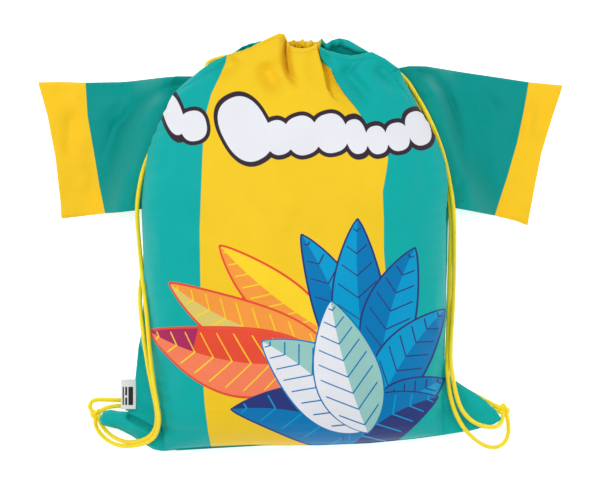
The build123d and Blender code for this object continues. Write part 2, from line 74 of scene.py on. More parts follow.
# ---------------------------------------------------------------- small helpers
def smooth(values, passes):
    """Rounds a list of samples off, ends kept."""
    a = np.array(values, float)
    for _ in range(passes):
        a[1:-1] = 0.25 * a[:-2] + 0.5 * a[1:-1] + 0.25 * a[2:]
    return a


def curve_through(points, count, round_off=10):
    """count points evenly spaced along a rounded line through given points."""
    p = np.array(points, float)
    d = path_lengths(p)
    t = np.linspace(0, d[-1], count)
    q = np.stack([np.interp(t, d, p[:, k]) for k in range(p.shape[1])], axis=1)
    return smooth(q, round_off)


def coons(bottom, top, left, right):
    """A patch filling four edge curves: rows go bottom to top, columns left to right."""
    rows, cols = len(left), len(bottom)
    u = np.linspace(0, 1, cols)[None, :, None]
    v = np.linspace(0, 1, rows)[:, None, None]
    ruled_v = (1 - v) * bottom[None] + v * top[None]
    ruled_u = (1 - u) * left[:, None] + u * right[:, None]
    corners = ((1 - u) * (1 - v) * bottom[0] + u * (1 - v) * bottom[-1]
               + (1 - u) * v * top[0] + u * v * top[-1])
    return ruled_v + ruled_u - corners


def add_object(name, data):
    obj = bpy.data.objects.new(name, data)
    scene.collection.objects.link(obj)
    return obj


def thicken(obj, thickness):
    """Gives a sheet its thickness in metres, on the inner side."""
    obj.modifiers.new("cloth", "SOLIDIFY").thickness = thickness


def smooth_mesh(name, verts, faces):
    mesh = bpy.data.meshes.new(name)
    mesh.from_pydata(verts, [], faces)
    mesh.polygons.foreach_set("use_smooth", np.ones(len(mesh.polygons), bool))
    return mesh


def path_lengths(path):
    """Distance along a path at each of its points."""
    return np.concatenate([[0], np.cumsum(np.linalg.norm(np.diff(path, axis=0), axis=1))])


def line_distance(x, y, points):
    """Distance to a polyline, signed (left of its direction is positive), and the share along it."""
    p = np.array(points, float)
    seg = np.diff(p, axis=0)
    long = np.linalg.norm(seg, axis=1)
    start = np.concatenate([[0], np.cumsum(long)])
    best = np.full(x.shape, 1e9)
    side = np.ones(x.shape)
    share = np.zeros(x.shape)
    for k, (a, s, n) in enumerate(zip(p[:-1], seg, long)):
        t = np.clip(((x - a[0]) * s[0] + (y - a[1]) * s[1]) / n ** 2, 0, 1)
        dx, dy = x - a[0] - t * s[0], y - a[1] - t * s[1]
        d = np.hypot(dx, dy)
        near = d < best
        best = np.where(near, d, best)
        side = np.where(near, np.sign(s[0] * dy - s[1] * dx), side)
        share = np.where(near, (start[k] + t * n) / start[-1], share)
    return best, side, share


def step(x, a, b):
    t = np.clip((x - a) / (b - a), 0, 1)
    return t * t * (3 - 2 * t)


def fold(x, y, points, depth, width, head=0.0, tail=0.25):
    """A valley (depth below 0) or ridge along a line, fading over head and tail."""
    d, _, share = line_distance(x, y, points)
    fade = step(share, -1e-6, max(head, 1e-5)) * step(1 - share, -1e-6, max(tail, 1e-5))
    end = np.where((share <= 0) | (share >= 1), np.exp(-(d / (width * 1.2)) ** 2), 1)
    return depth * np.exp(-(d / width) ** 2) * fade * end


def ripple(x, y, wave, seed, count=7):
    """Soft uneven undulation of unit size."""
    r = np.random.default_rng(seed)
    total = np.zeros(np.shape(x))
    for _ in range(count):
        a = r.uniform(-math.pi / 2, math.pi / 2)
        k = 2 * math.pi / (wave * r.uniform(0.7, 1.5))
        total += np.sin(k * (x * math.cos(a) + y * math.sin(a)) + r.uniform(0, 6.28))
    return total / math.sqrt(count)


def grid_object(name, pts, flat=None, attributes=None, flip=False, wrap=False):
    """A smooth mesh from rows and columns of points in millimetres."""
    rows, cols = pts.shape[:2]
    idx = np.arange(rows * cols).reshape(rows, cols)
    if wrap:
        idx = np.concatenate([idx, idx[:, :1]], axis=1)
    quads = np.stack([idx[:-1, :-1], idx[:-1, 1:], idx[1:, 1:], idx[1:, :-1]], -1).reshape(-1, 4)
    if flip:
        quads = quads[:, ::-1]
    mesh = smooth_mesh(name, (pts.reshape(-1, 3) * MM).tolist(), quads.tolist())
    if flat is not None:
        layer = mesh.uv_layers.new(name="flat")
        uv = flat.reshape(-1, 2)[quads.ravel()] * MM
        layer.data.foreach_set("uv", uv.astype(np.float32).ravel())
    for key, values in (attributes or {}).items():
        a = mesh.attributes.new(key, "FLOAT", "POINT")
        a.data.foreach_set("value", np.asarray(values, np.float32).ravel())
    mesh.update()
    return add_object(name, mesh)


# ---------------------------------------------------------------- materials
class Nodes:
    """Short hand for wiring a node material."""

    def __init__(self, name):
        self.material = bpy.data.materials.new(name)
        self.material.use_nodes = True
        self.tree = self.material.node_tree
        self.tree.nodes.clear()

    def add(self, kind, sockets=None, **values):
        """A new node; sockets holds links or constants for its inputs, by name or number."""
        node = self.tree.nodes.new(kind)
        for key, value in values.items():
            setattr(node, key, value)
        for socket, value in (sockets or {}).items():
            if value is not None:
                self.put(node.inputs[socket], value)
        return node

    def put(self, socket, value):
        if isinstance(value, bpy.types.NodeSocket):
            self.tree.links.new(value, socket)
        elif isinstance(value, (int, float)) and socket.type == "RGBA":
            socket.default_value = (value, value, value, 1)
        else:
            socket.default_value = value

    def math(self, operation, *values, clamp=False):
        sockets = dict(enumerate(values))
        return self.add("ShaderNodeMath", sockets, operation=operation, use_clamp=clamp).outputs[0]

    def mix(self, factor, a, b, blend="MIX"):
        sockets = {0: factor, 6: a, 7: b}     # the colour sockets of this node
        return self.add("ShaderNodeMix", sockets, data_type="RGBA", blend_type=blend).outputs[2]

    def attribute(self, name):
        return self.add("ShaderNodeAttribute", attribute_name=name).outputs["Fac"]

    def uv(self):
        return self.add("ShaderNodeUVMap", uv_map="flat").outputs[0]

    def place(self):
        return self.add("ShaderNodeTexCoord").outputs["Object"]

    def noise(self, vector, scale, detail=3.0, rough=0.5):
        sockets = {"Vector": vector, "Scale": scale, "Detail": detail, "Roughness": rough}
        return self.add("ShaderNodeTexNoise", sockets).outputs["Fac"]

    def wave(self, vector, scale, direction, distortion=0.0):
        sockets = {"Vector": vector, "Scale": scale, "Distortion": distortion}
        return self.add("ShaderNodeTexWave", sockets, bands_direction=direction).outputs["Fac"]

    def rgb(self, colour):
        node = self.add("ShaderNodeRGB")
        node.outputs[0].default_value = colour
        return node.outputs[0]

    def bump(self, height, distance, strength, normal=None):
        sockets = {"Distance": distance, "Strength": strength, "Height": height, "Normal": normal}
        return self.add("ShaderNodeBump", sockets).outputs[0]

    def surface(self, colour, rough, normal=None, **values):
        """The material's shader; values are constants for its sockets, spaces as underscores."""
        sockets = {"Base Color": colour, "Roughness": rough, "Normal": normal}
        sockets.update((name.replace("_", " "), value) for name, value in values.items())
        shader = self.add("ShaderNodeBsdfPrincipled", sockets)
        self.add("ShaderNodeOutputMaterial", {"Surface": shader.outputs[0]})
        return self.material


def srgb(r, g, b):
    """Linear colour of a display colour given as 0 to 255."""
    return tuple(((c / 255 + 0.055) / 1.055) ** 2.4 if c > 10 else c / 255 / 12.92
                 for c in (r, g, b)) + (1.0,)


EDGE_SOFTNESS = 0.35     # of a printed edge, in millimetres
TEAL = srgb(8, 166, 161)
TEAL_DEEP = srgb(0, 146, 139)
YELLOW = srgb(236, 196, 36)
CUFF = srgb(248, 198, 34)
CORD = srgb(255, 226, 18)
INK = srgb(52, 42, 52)
PRINT = {
    "navy": srgb(42, 54, 118), "blue": srgb(0, 116, 176), "sky": srgb(0, 150, 200),
    "pale": srgb(146, 194, 188), "white": srgb(224, 226, 232), "orange": srgb(238, 150, 62),
    "salmon": srgb(240, 126, 88), "khaki": srgb(214, 194, 104), "lemon": srgb(244, 206, 40),
    "red": srgb(226, 76, 52), "plum": srgb(166, 42, 92),
}


def finish_cloth(n, colour, coordinates, weave=900.0, rough=0.5, sheen=0.05, relief=0.00006):
    """Fine plain weave with painted shade between its threads, faint satin sheen and uneven shade over a colour."""
    shade = n.noise(n.place(), 14.0, 4.0, 0.55)
    tone = n.math("MULTIPLY_ADD", shade, 0.14, 0.93)
    tinted = n.mix(1.0, colour, tone, "MULTIPLY")
    grain = n.noise(coordinates, weave * 0.9, 2.0, 0.6)
    warp = n.wave(coordinates, weave / 6.283, "X", 0.4)
    weft = n.wave(coordinates, weave / 6.283, "Y", 0.4)
    cross = n.math("MAXIMUM", warp, weft)
    height = n.math("ADD", n.math("MULTIPLY", cross, 0.7), n.math("MULTIPLY", grain, 0.3))
    # painted shade: the colour is darker between the threads and lighter where they cross over
    weave_shade = n.math("MULTIPLY_ADD", height, 0.10, 0.95)
    tinted = n.mix(1.0, tinted, weave_shade, "MULTIPLY")
    slub = n.noise(n.place(), 230.0, 3.0, 0.6)
    bumped = n.bump(slub, 0.0005, 0.16, n.bump(height, relief, 0.55))
    roughness = n.math("MULTIPLY_ADD", n.noise(n.place(), 60.0), 0.12, rough - 0.06)
    return n.surface(tinted, roughness, bumped, Sheen_Weight=sheen, Sheen_Roughness=0.45,
                     Specular_IOR_Level=0.08)


def inside(n, name):
    """1 where a signed distance in millimetres is above 0, with a fine soft edge."""
    return n.math("MULTIPLY_ADD", n.attribute(name), 1 / EDGE_SOFTNESS, 0.5, clamp=True)


def cloth_material(name, base, stripe=None, layers=(), **finish):
    n = Nodes(name)
    colour = base
    if stripe is not None:
        colour = n.mix(inside(n, "stripe"), base, stripe)
    for attribute, shade in layers:
        colour = n.mix(inside(n, attribute), colour, shade)
    if not isinstance(colour, bpy.types.NodeSocket):
        colour = n.rgb(colour)
    return finish_cloth(n, colour, n.uv(), **finish)


STRAND_PITCH = 0.0014    # of the slanting strands in the braid's bump, in metres


def cord_material(name, colour):
    """Round braid: two sets of slanting strands crossing over and under, with painted shade in the grooves between
    them and painted highlight on their crests.
    """
    n = Nodes(name)
    along, around, _ = n.add("ShaderNodeSeparateXYZ", {0: n.uv()}).outputs
    a, b = (n.math("SINE", n.math("MULTIPLY", n.math(way, along, around), 2 * math.pi / STRAND_PITCH))
            for way in ("ADD", "SUBTRACT"))
    height = n.math("MULTIPLY_ADD", n.math("MAXIMUM", a, b), 0.5, 0.5)
    # painted shade and painted highlight: tone darkens the colour in the grooves between strands and lightens it on
    # their crests
    tone = n.math("MULTIPLY_ADD", height, 0.26, 0.92)
    fuzz = n.math("MULTIPLY_ADD", n.noise(n.place(), 900.0), 0.16, 0.92)
    tinted = n.mix(1.0, n.mix(1.0, colour, tone, "MULTIPLY"), fuzz, "MULTIPLY")
    return n.surface(tinted, 0.62, n.bump(height, 0.0004, 0.8), Sheen_Weight=0.1)


def thread_material(name, colour):
    n = Nodes(name)
    tone = n.math("MULTIPLY_ADD", n.noise(n.place(), 1800.0), 0.4, 0.8)
    return n.surface(n.mix(1.0, n.rgb(colour), tone, "MULTIPLY"), 0.55)


# ---------------------------------------------------------------- outline of the body
LOWER_EDGE = [(-185.6, -161), (-184.8, -166.6), (-179, -168.4), (-168, -170.8), (-156.4, -176.4), (-145, -183.6),
    (-135, -189.2), (-127, -190.6), (-108, -189), (-82, -187), (-46, -185.4), (18, -185.2), (63, -183.4),
    (105, -179.4), (133, -175.6), (160, -171.6), (180, -166.2), (187, -162)]
LEFT_SIDE = [(-185.6, -161), (-182, -154.4), (-175.6, -152.8), (-168, -154.2), (-159, -154.6), (-154.4, -147),
    (-152.4, -127), (-149, -95), (-146, -81), (-144.2, -51), (-144, -14), (-145, 13), (-146, 41), (-143.4, 68.5),
    (-138, 91.5), (-129, 114.5), (-116, 137.5), (-107, 147), (-92, 159), (-78, 168), (-67, 173)]
RIGHT_SIDE = [(187, -162), (181, -153), (175, -148.2), (166.5, -140.4), (150, -130), (139, -122.6), (133.5, -106),
    (133.6, -85), (135, -64), (134.6, -39), (135.2, 13), (136.4, 39), (137.2, 57), (134.6, 76), (129, 92),
    (122, 109), (108, 129), (99, 144), (91, 159.5)]
TOP_EDGE = [(-67, 173), (-60, 175), (-54, 176.4), (-46, 179.4), (-36, 184.6), (-27, 189), (-20, 191.8),
    (-15, 191), (-12.2, 185), (-10.5, 180.6), (-4, 178.2), (4, 177.6), (11, 179.6), (14.2, 182.2), (16.5, 180.4),
    (24, 176), (36, 172.6), (47, 170.8), (56, 172.6), (66, 174.4), (78, 168.6), (91, 159.5)]
BACK_TOP_EDGE = [(-67, 173), (-60, 178), (-53, 183), (-45, 186), (-36, 187.4), (-14, 187.4), (2, 188), (14, 187),
    (19.6, 188.6), (24.6, 185.6), (29, 188.6), (36, 190.6), (44, 188.8), (52, 184.5), (66, 176.5), (78, 169),
    (91, 159.5)]

# height of the front's crown and of the back over the floor, by distance from the bottom seam
CROWN = np.array([(0, 35.4), (1.6, 45), (4, 55), (8, 65), (14, 75.5), (22, 84.5), (35, 94), (50, 101), (72, 108),
    (98, 113), (124, 116.6), (150, 119), (177, 120), (203, 120), (228, 118.2), (252, 115), (275, 110), (296, 104),
    (312, 98.5), (326, 93), (338, 87.4), (350, 81.6), (362, 77.6), (376, 75)])
KEEL = np.array([(0, 34), (1.6, 26), (4, 19), (8, 11.6), (14, 6), (22, 3.2), (35, 1.4), (50, 0.6), (200, 0.4),
    (252, 0.6), (275, 2.2), (296, 5.2), (310, 9), (321, 13), (330, 16.6), (337, 19.6), (345, 22.6), (353, 25),
    (366, 27), (380, 28)])
SEAM_HEIGHT = np.array([(-200, 34.5), (-112, 35), (-88, 38.2), (-64, 42), (-40, 45.4), (-13, 47.8), (13, 49.2),
    (38, 50), (220, 50)])
FRONT_LIFT = np.array([(-200, 0.2), (118, 0.2), (131, 4), (140, 8.5), (147, 12.5), (155, 14.5), (163.5, 16.5),
    (176, 18), (220, 20)])
BACK_DROP = np.array([(-200, 0.2), (118, 0.2), (131, 4), (140, 10), (147, 14), (155, 16), (163.5, 16.5),
    (176, 17), (220, 17)])
# the body proper at the corner flaps, where the bulge ends short of the outline
BODY_LEFT = np.array([(-200, -123), (-176, -127), (-155, -130.6), (-140, -133.4), (-118, -137.6), (-92, -142),
    (-66, -144.2), (-40, -144.2)])
BODY_RIGHT = np.array([(-200, 131), (-176, 131.6), (-155, 131), (-140, 130.4), (-118, 130.8), (-104, 133)])

# the sides above the corner flaps, where each height is met once
side_left = curve_through(LEFT_SIDE, 900, 60)[110:]
side_right = curve_through(RIGHT_SIDE, 900, 60)[200:]


def table(rows, value):
    """A value read off listed (place, value) pairs."""
    return np.interp(value, rows[:, 0], rows[:, 1])


def x_on(line, y):
    """How far across a line is at a height; its points run upwards."""
    return table(line[:, ::-1], y)


fine = np.linspace(0, 380, 1521)
crown_line, keel_line = (smooth(table(rows, fine), 24) for rows in (CROWN, KEEL))
lower_fine = curve_through(LOWER_EDGE, 900, 30)


def body_frame(x, y):
    """Across position from -1 to 1 inside the filled body, and distance from the bottom seam."""
    far = step(y, -116, -78)
    left = (1 - far) * table(BODY_LEFT, y) + far * x_on(side_left, y)
    right = (1 - far) * table(BODY_RIGHT, y) + far * x_on(side_right, y)
    high = step(y, 150, 176)
    left = left * (1 - high) + np.minimum(left, -96) * high
    right = right * (1 - high) + np.maximum(right, 112) * high
    across = (x - (left + right) / 2) / ((right - left) / 2)
    return across, np.maximum(y - table(lower_fine, x), 0), left, right


def edge_height(x, y, left, right):
    """Height of the side seam, and of the corner flaps that slope down from it."""
    out = np.maximum(np.maximum(left - x, x - right), 0)
    return table(SEAM_HEIGHT, y) - 0.36 * out * (1 - step(y, -100, -80))


# ---------------------------------------------------------------- folds of the front
PLEAT_LEFT = [(-12.4, 185), (-12.6, 176), (-11.4, 165), (-9.6, 157), (-5, 148), (0, 140)]
PLEAT_RIGHT = [(15, 184), (16.4, 177), (19.4, 166), (22, 156), (24.6, 143), (29, 135), (37, 128)]
LOBE_EDGE = [(17, 180), (19, 170), (25, 163), (31, 155), (34, 146), (40, 137), (49, 126), (57, 116)]
CORD_GROOVE = [(-146.5, -8), (-143.6, -37), (-140.6, -59), (-138.8, -80), (-137, -103), (-133, -135)]
# creases as (line, depth, width, head, tail); the last two are the hems of the channel slits
MOUTH_FOLDS = (
    ([(2, 176), (2, 160), (4, 144), (7, 130)], 1.6, 6.0, 0.0, 0.5),
    ([(-33, 168), (-30, 158), (-24, 146), (-15, 134)], -9.0, 8.0, 0.3, 0.5),
    ([(-24, 196), (-38, 174), (-46, 160), (-52, 146)], 3.6, 9.0, 0.3, 0.6),
    ([(-58, 172), (-68, 158), (-76, 142)], -4.2, 6.5, 0.2, 0.6),
    ([(-20, 200), (-19, 172), (-16, 158)], 4.0, 5.0, 0.0, 0.5),
    ([(50, 164), (60, 152), (74, 138), (86, 122)], 6.0, 10.0, 0.1, 0.5),
    ([(38, 166), (46, 152), (58, 138), (68, 124)], -5.5, 7.0, 0.2, 0.5),
    ([(68, 166), (80, 152), (92, 136)], -4.6, 6.0, 0.25, 0.5),
    ([(86, 158), (96, 142), (106, 124), (112, 104)], 1.8, 7.0, 0.0, 0.5),
    ([(-112, 136), (-104, 144), (-92, 152.6), (-80, 160), (-66, 168)], -1.2, 1.5, 0.0, 0.1),
    ([(100, 131), (92, 143), (86, 153)], -1.0, 1.5, 0.0, 0.1))
# drag lines from the seams and corners, and slack in the middle
DRAG_LINES = (
    ([(-150, -158), (-136, -168), (-118, -172), (-96, -168)], -5.0, 4.0),
    ([(-140, -182), (-122, -180), (-104, -172)], 2.2, 4.0),
    ([(-150, -140), (-134, -150), (-120, -152), (-104, -146)], 2.0, 5.0),
    ([(-128, -186), (-112, -178), (-92, -170), (-70, -166)], -1.6, 5.0),
    ([(150, -150), (134, -144), (118, -132), (104, -112)], 2.6, 6.0),
    ([(154, -162), (134, -158), (112, -150), (90, -146)], -2.4, 6.0),
    ([(128, -92), (124, -60), (126, -24)], 1.6, 4.0),
    ([(-138, -110), (-134, -70), (-136, -30)], -1.3, 4.0),
    ([(-134, 30), (-128, 0), (-130, -40)], 1.2, 5.0),
    ([(-120, 118), (-112, 92), (-110, 60)], 1.4, 7.0),
    ([(118, 96), (112, 66), (114, 30)], -1.4, 7.0),
    ([(-30, -184), (-26, -160), (-34, -130)], -1.2, 9.0),
    ([(60, -182), (50, -152), (56, -120)], 1.4, 9.0))
CORNER_FOLDS = (
    ([(-161, -157.4), (-153, -161.6), (-145, -164.4), (-134, -165)], -9.0, 2.5, 0.2, 0.3),
    ([(-158, -155), (-149, -158.6), (-140, -158)], -6.0, 2.1, 0.2, 0.25),
    ([(-158, -166), (-149, -170), (-140, -173.6), (-128, -176)], 3.2, 3.4, 0.2, 0.4),
    ([(-176, -166), (-162, -172), (-147, -181)], -5.0, 2.2, 0.2, 0.3),
    ([(140, -128), (156, -142), (176, -156)], 1.6, 6.0, 0.1, 0.2),
    ([(150, -164), (166, -163), (182, -160)], -1.2, 4.0, 0.1, 0.2))


def front_height(x, y):
    """Height of the front, with its place across, up, and the sides of the body at each point."""
    across, up, left, right = body_frame(x, y)
    edge = edge_height(x, y, left, right) + table(FRONT_LIFT, y)
    crown = np.interp(up, fine, crown_line)
    flat = step(y, 150, 185)
    low = 1 - step(y, -110, -60)
    power = 2.5 - 0.2 * low
    root = 2.35 - 0.35 * low
    bulge = np.clip(1 - np.abs(across) ** power, 0, 1) ** (1 / root)
    eased = (1 - step(across, 0.74, 1.06)) ** 0.8
    corner = (1 - step(y, -124, -92)) * step(across, 0.3, 0.7)
    bulge = bulge * (1 - corner) + np.minimum(bulge + 0.05 * corner, eased) * corner
    bulge = bulge * (1 - flat) + (1 - 0.5 * np.clip(np.abs(across), 0, 1) ** 2) * flat
    z = edge + np.maximum(crown - edge, 0) * bulge
    weight = step(bulge, 0.15, 0.7)

    # gathers running down from the mouth
    z += step(y, 158, 178) * 2.6
    d, side, share = line_distance(x, y, PLEAT_LEFT)
    down = 1 - share
    z -= 11.0 * np.exp(-(d / 3.2) ** 2) * step(down, 0.0, 0.5)
    z -= 6.5 * np.exp(-(d / 9.0) ** 2) * (side < 0) * step(down, 0.0, 0.6)
    d, side, share = line_distance(x, y, PLEAT_RIGHT)
    down = 1 - share
    z -= 10.5 * np.exp(-(d / 7.5) ** 2) * (side > 0) * step(down, 0.0, 0.45)
    z += 1.5 * np.exp(-(d / 4.0) ** 2) * (side < 0) * step(down, 0.0, 0.45)
    d, side, share = line_distance(x, y, LOBE_EDGE)
    down = 1 - share
    z += 7.0 * np.exp(-(d / 15.0) ** 2) * (side > 0) * step(down, 0.0, 0.35)
    z += 3.0 * np.exp(-(d / 2.2) ** 2) * step(down, 0.0, 0.35)
    for crease in MOUTH_FOLDS:
        z += fold(x, y, *crease)

    # the groove that the two left-hand cords press into the side
    d, _, share = line_distance(x, y, CORD_GROOVE)
    z -= (8.0 * np.exp(-(d / 5.0) ** 2) * step(share, 0.0, 0.2) * step(1 - share, 0.0, 0.3)
          * step(x - x_on(side_left, y), 0.0, 3.0))

    for points, depth, width in DRAG_LINES:
        z += fold(x, y, points, depth, width, head=0.2, tail=0.6) * np.clip(step(up, 2, 14), 0, 1)
    soft = step(up, 10, 50) * (0.4 + 0.6 * weight)
    z += soft * (1.3 * ripple(x, y, 74, 3) + 0.55 * ripple(x, y, 34, 5) + 0.10 * ripple(x, y, 15, 9, 9))
    near = np.exp(-((1 - np.abs(across)) * 150 / 13) ** 2) * (np.abs(across) < 1)
    near = near * step(up, 6, 24) * (1 - step(y, 120, 140))
    z += near * 1.1 * np.sin(y * 2 * math.pi / 13 + 2.2 * np.sin(y / 19.0))
    return z, across, up, left, right


def ear_shape(x, y, z, left, upper):
    """Rolls the left corner into a tube and leaves the right one a flat flap."""
    flap = (x < left) & (y < -100)
    d, _, _ = line_distance(x, y, [(-181, -163), (-168, -163), (-152, -170), (-134, -180)])
    roll = np.clip(1 - (d / 10.0) ** 2, 0, 1) ** 0.5 * step(-x, 118, 146)
    if upper:
        z = z + 7.0 * roll * np.where(flap, 1, 0.55)
        for crease in CORNER_FOLDS:
            z += fold(x, y, *crease)
    else:
        z = z - 4.0 * roll * np.where(flap, 1, 0.4)
    return z


ROWS, COLS = 430, 380


def spread(count, ends=0.55):
    """Even spacing with more columns towards the two ends."""
    t = np.linspace(0, 1, count)
    return (1 - ends) * t + ends * (0.5 - 0.5 * np.cos(math.pi * t))


def edge_curve(points, count, round_off, ends=0.0):
    dense = curve_through(points, 2400, round_off * 8)
    at = spread(count, ends) * (len(dense) - 1)
    k = np.arange(len(dense))
    return np.stack([np.interp(at, k, dense[:, 0]), np.interp(at, k, dense[:, 1])], axis=1)


def body_patch(top):
    bottom = edge_curve(LOWER_EDGE, COLS, 6, 0.55)
    upper = edge_curve(top, COLS, 1, 0.55)
    left = edge_curve(LEFT_SIDE, ROWS, 8, 0.25)
    right = edge_curve(RIGHT_SIDE, ROWS, 8, 0.25)
    left[0], right[0] = bottom[0], bottom[-1]
    left[-1], right[-1] = upper[0], upper[-1]
    return coons(bottom, upper, left, right)


def flat_position(plan, z):
    """Distances along the cloth, across and up, for the weave and the seams."""
    p = np.dstack([plan, z])
    steps_across, steps_up = (np.linalg.norm(np.diff(p, axis=axis), axis=2) for axis in (1, 0))
    across = np.concatenate([np.zeros((len(p), 1)), np.cumsum(steps_across, axis=1)], axis=1)
    across -= across[:, COLS // 2][:, None]
    upward = np.concatenate([np.zeros((1, p.shape[1])), np.cumsum(steps_up, axis=0)], axis=0)
    return np.dstack([across, upward.mean(axis=1)[:, None] * np.ones_like(across)])


# ---------------------------------------------------------------- printed pattern
STRIPE_LEFT = [(-66, 176), (-68, 166), (-74, 152), (-81, 137), (-85, 122), (-88, 96), (-90, 41), (-91, 13),
    (-90, -60), (-89, -108), (-87, -145), (-84, -172), (-81, -190)]
STRIPE_RIGHT = [(17, 184), (19, 168), (28, 160), (33, 148), (40, 137), (50, 125), (58, 113), (68, 99), (78, 88),
    (80, 78), (78, 64), (75, 48), (76, 21), (76, -5), (78, -31), (80, -90), (80, -190)]


def between_stripes(x, y):
    left, right = (x_on(np.array(line[::-1]), y) for line in (STRIPE_LEFT, STRIPE_RIGHT))
    return np.minimum(x - left, right - x)


def leaf_axes(x, y, base, tip):
    """Length of a leaf, and each point's distance along it (times that length) and across it."""
    bx, by = base
    dx, dy = tip[0] - bx, tip[1] - by
    long = math.hypot(dx, dy)
    return long, (x - bx) * dx + (y - by) * dy, (-(x - bx) * dy + (y - by) * dx) / long


def leaf(x, y, base, tip, width, bow=0.0, part=0):
    """Signed distance inside a pointed leaf. part 1 keeps the left half, -1 the right half."""
    long, a, b = leaf_axes(x, y, base, tip)
    a = a / long ** 2
    b = b - bow * 4 * a * (1 - a) * long
    t = np.clip(a, 0, 1)
    half = width / 2 * (4 * t * (1 - t)) ** 0.8 * (0.72 + 0.56 * (1 - t))
    d = half - np.abs(b)
    d = np.where(a < 0, -np.hypot(a * long, b), d)
    d = np.where(a > 1, -np.hypot((a - 1) * long, b), d)
    if part:
        d = np.minimum(d, part * b)
    return d


def veins(x, y, base, tip, width, count, bow=0.0, line=1.0):
    """Slanting bars across one leaf."""
    long, a, b = leaf_axes(x, y, base, tip)
    a = a / long
    b = b - bow * 4 * (a / long) * (1 - a / long) * long
    phase = (a - 0.8 * np.abs(b)) / (long / count)
    bars = line - np.abs((phase % 1) - 0.5) * (long / count)
    return np.minimum(bars, leaf(x, y, base, tip, width * 0.86, bow) - 0.5)


def pebble(x, y, at, rx, ry, lean):
    c, s = math.cos(math.radians(lean)), math.sin(math.radians(lean))
    px, py = (x - at[0]) * c + (y - at[1]) * s, -(x - at[0]) * s + (y - at[1]) * c
    r = (np.abs(px / rx) ** 2.4 + np.abs(py / ry) ** 2.4) ** (1 / 2.4)
    return (1 - r) * min(rx, ry)


PEBBLES = [((-116, 119), 8.6, 20, 20), ((-97, 108), 12, 14, 12),
           ((-50, 105), 21, 31, 28), ((-20, 97), 12, 16, 18), ((2, 99), 15, 18, 20), ((28, 101), 15, 18, 16),
           ((51, 98), 9.5, 16, 14), ((70, 95), 9.5, 13, 14), ((89, 98), 10.5, 13, 14), ((108, 106), 11, 16, 20)]

WARM = [((18, -104), (-137, -80), 60, 0.09), ((22, -92), (-118, -36), 44, 0.07), ((26, -80), (-72, -2), 40, 0.04)]
COOL = [((52, -120), (2, 8), 42, -0.05), ((62, -118), (52, 22), 46, 0.03), ((72, -120), (104, -4), 46, 0.05),
        ((70, -150), (132, -60), 44, 0.05), ((66, -176), (132, -124), 40, 0.08)]
PALE = [((58, -170), (-34, -88), 62, -0.06), ((62, -172), (28, -52), 58, 0.03)]
DEEP = [((84, -192), (-62, -150), 56, -0.10), ((40, -196), (126, -140), 46, 0.10)]


def layered(x, y, leaves, halves, bars, line):
    """Edges, fills, one half of each and veins of leaves that lie over each other, the last on top."""
    shapes = [leaf(x, y, *w) for w in leaves]
    top = np.full(x.shape, 1e3)
    edges, half, vein = [], [], []
    for k in reversed(range(len(leaves))):
        w = leaves[k]
        edges.append(np.minimum(np.minimum(shapes[k] + line, -shapes[k]), top))
        half.append(np.minimum(leaf(x, y, *w, part=halves[k]), top))
        vein.append(np.minimum(veins(x, y, *w[:3], bars, w[3], 0.8), top))
        top = np.minimum(top, -shapes[k])
    union = np.maximum.reduce
    return union(shapes) + line, union(shapes), union(half), union(vein), union(edges)


def print_layers(x, y):
    """Signed distances of every printed colour, bottom layer first."""
    L = {}
    band = np.maximum.reduce([pebble(x, y, *p) for p in PEBBLES])
    L["ink_band"] = band + 3.2
    L["white_band"] = band
    L["warm_edge"], _, _, L["warm_veins"], L["warm_lines"] = layered(x, y, WARM[::-1], (1, 1, -1), 9, 2.0)
    low, middle, high = (leaf(x, y, *w) for w in WARM)
    L["lemon"] = high
    L["orange"] = np.maximum(middle, np.minimum(leaf(x, y, *WARM[2], part=1), -middle))
    L["khaki"] = leaf(x, y, *WARM[1], part=1)
    L["salmon"] = low
    L["red"] = leaf(x, y, *WARM[0], part=-1)
    L["plum"] = np.minimum(L["red"], -96 - x + 0.25 * (y + 90))
    for names, leaves, halves, bars, line in (
            ("navy_edge blue sky cool_veins navy_lines", COOL, (-1, 1, -1, 1, -1), 7, 1.8),
            ("deep_edge deep_blue deep_navy deep_veins deep_lines", DEEP, (-1, -1), 6, 1.4),
            ("pale_edge pale pale_white pale_veins pale_lines", PALE, (1, 1), 8, 1.4)):
        L.update(zip(names.split(), layered(x, y, leaves, halves, bars, line)))
    return L


INK_LAYERS = [(layer, INK if ink == "ink" else PRINT[ink]) for layer, ink in (pair.split(":") for pair in (
    "warm_edge:red lemon:lemon orange:orange khaki:khaki salmon:salmon red:red plum:plum warm_veins:lemon "
    "warm_lines:red navy_edge:navy blue:blue sky:sky cool_veins:navy navy_lines:navy deep_edge:navy "
    "deep_blue:blue deep_navy:navy deep_veins:sky deep_lines:navy pale_edge:blue pale:pale pale_white:white "
    "pale_veins:blue pale_lines:blue ink_band:ink white_band:white").split())]


def sewn_shut(plan, z, left, right):
    """Brings the sides and the bottom edge of a sheet down to the seam, below the channel slits."""
    x, y = plan[..., 0], plan[..., 1]
    near = np.minimum.reduce([np.linalg.norm(plan - plan[:, :1], axis=2), np.linalg.norm(plan - plan[:, -1:], axis=2),
                              np.linalg.norm(plan - plan[:1], axis=2)])
    seam = edge_height(x, y, left, right)
    return z + (seam - z) * (1 - step(near, 0.0, 2.6)) * (1 - step(y, 112, 124))


# ---------------------------------------------------------------- front of the body
front_plan = body_patch(TOP_EDGE)
X, Y = front_plan[..., 0], front_plan[..., 1]
front_z, across, up, left_x, right_x = front_height(X, Y)
front_z = ear_shape(X, Y, front_z, left_x, True)
front_z = sewn_shut(front_plan, front_z, left_x, right_x)


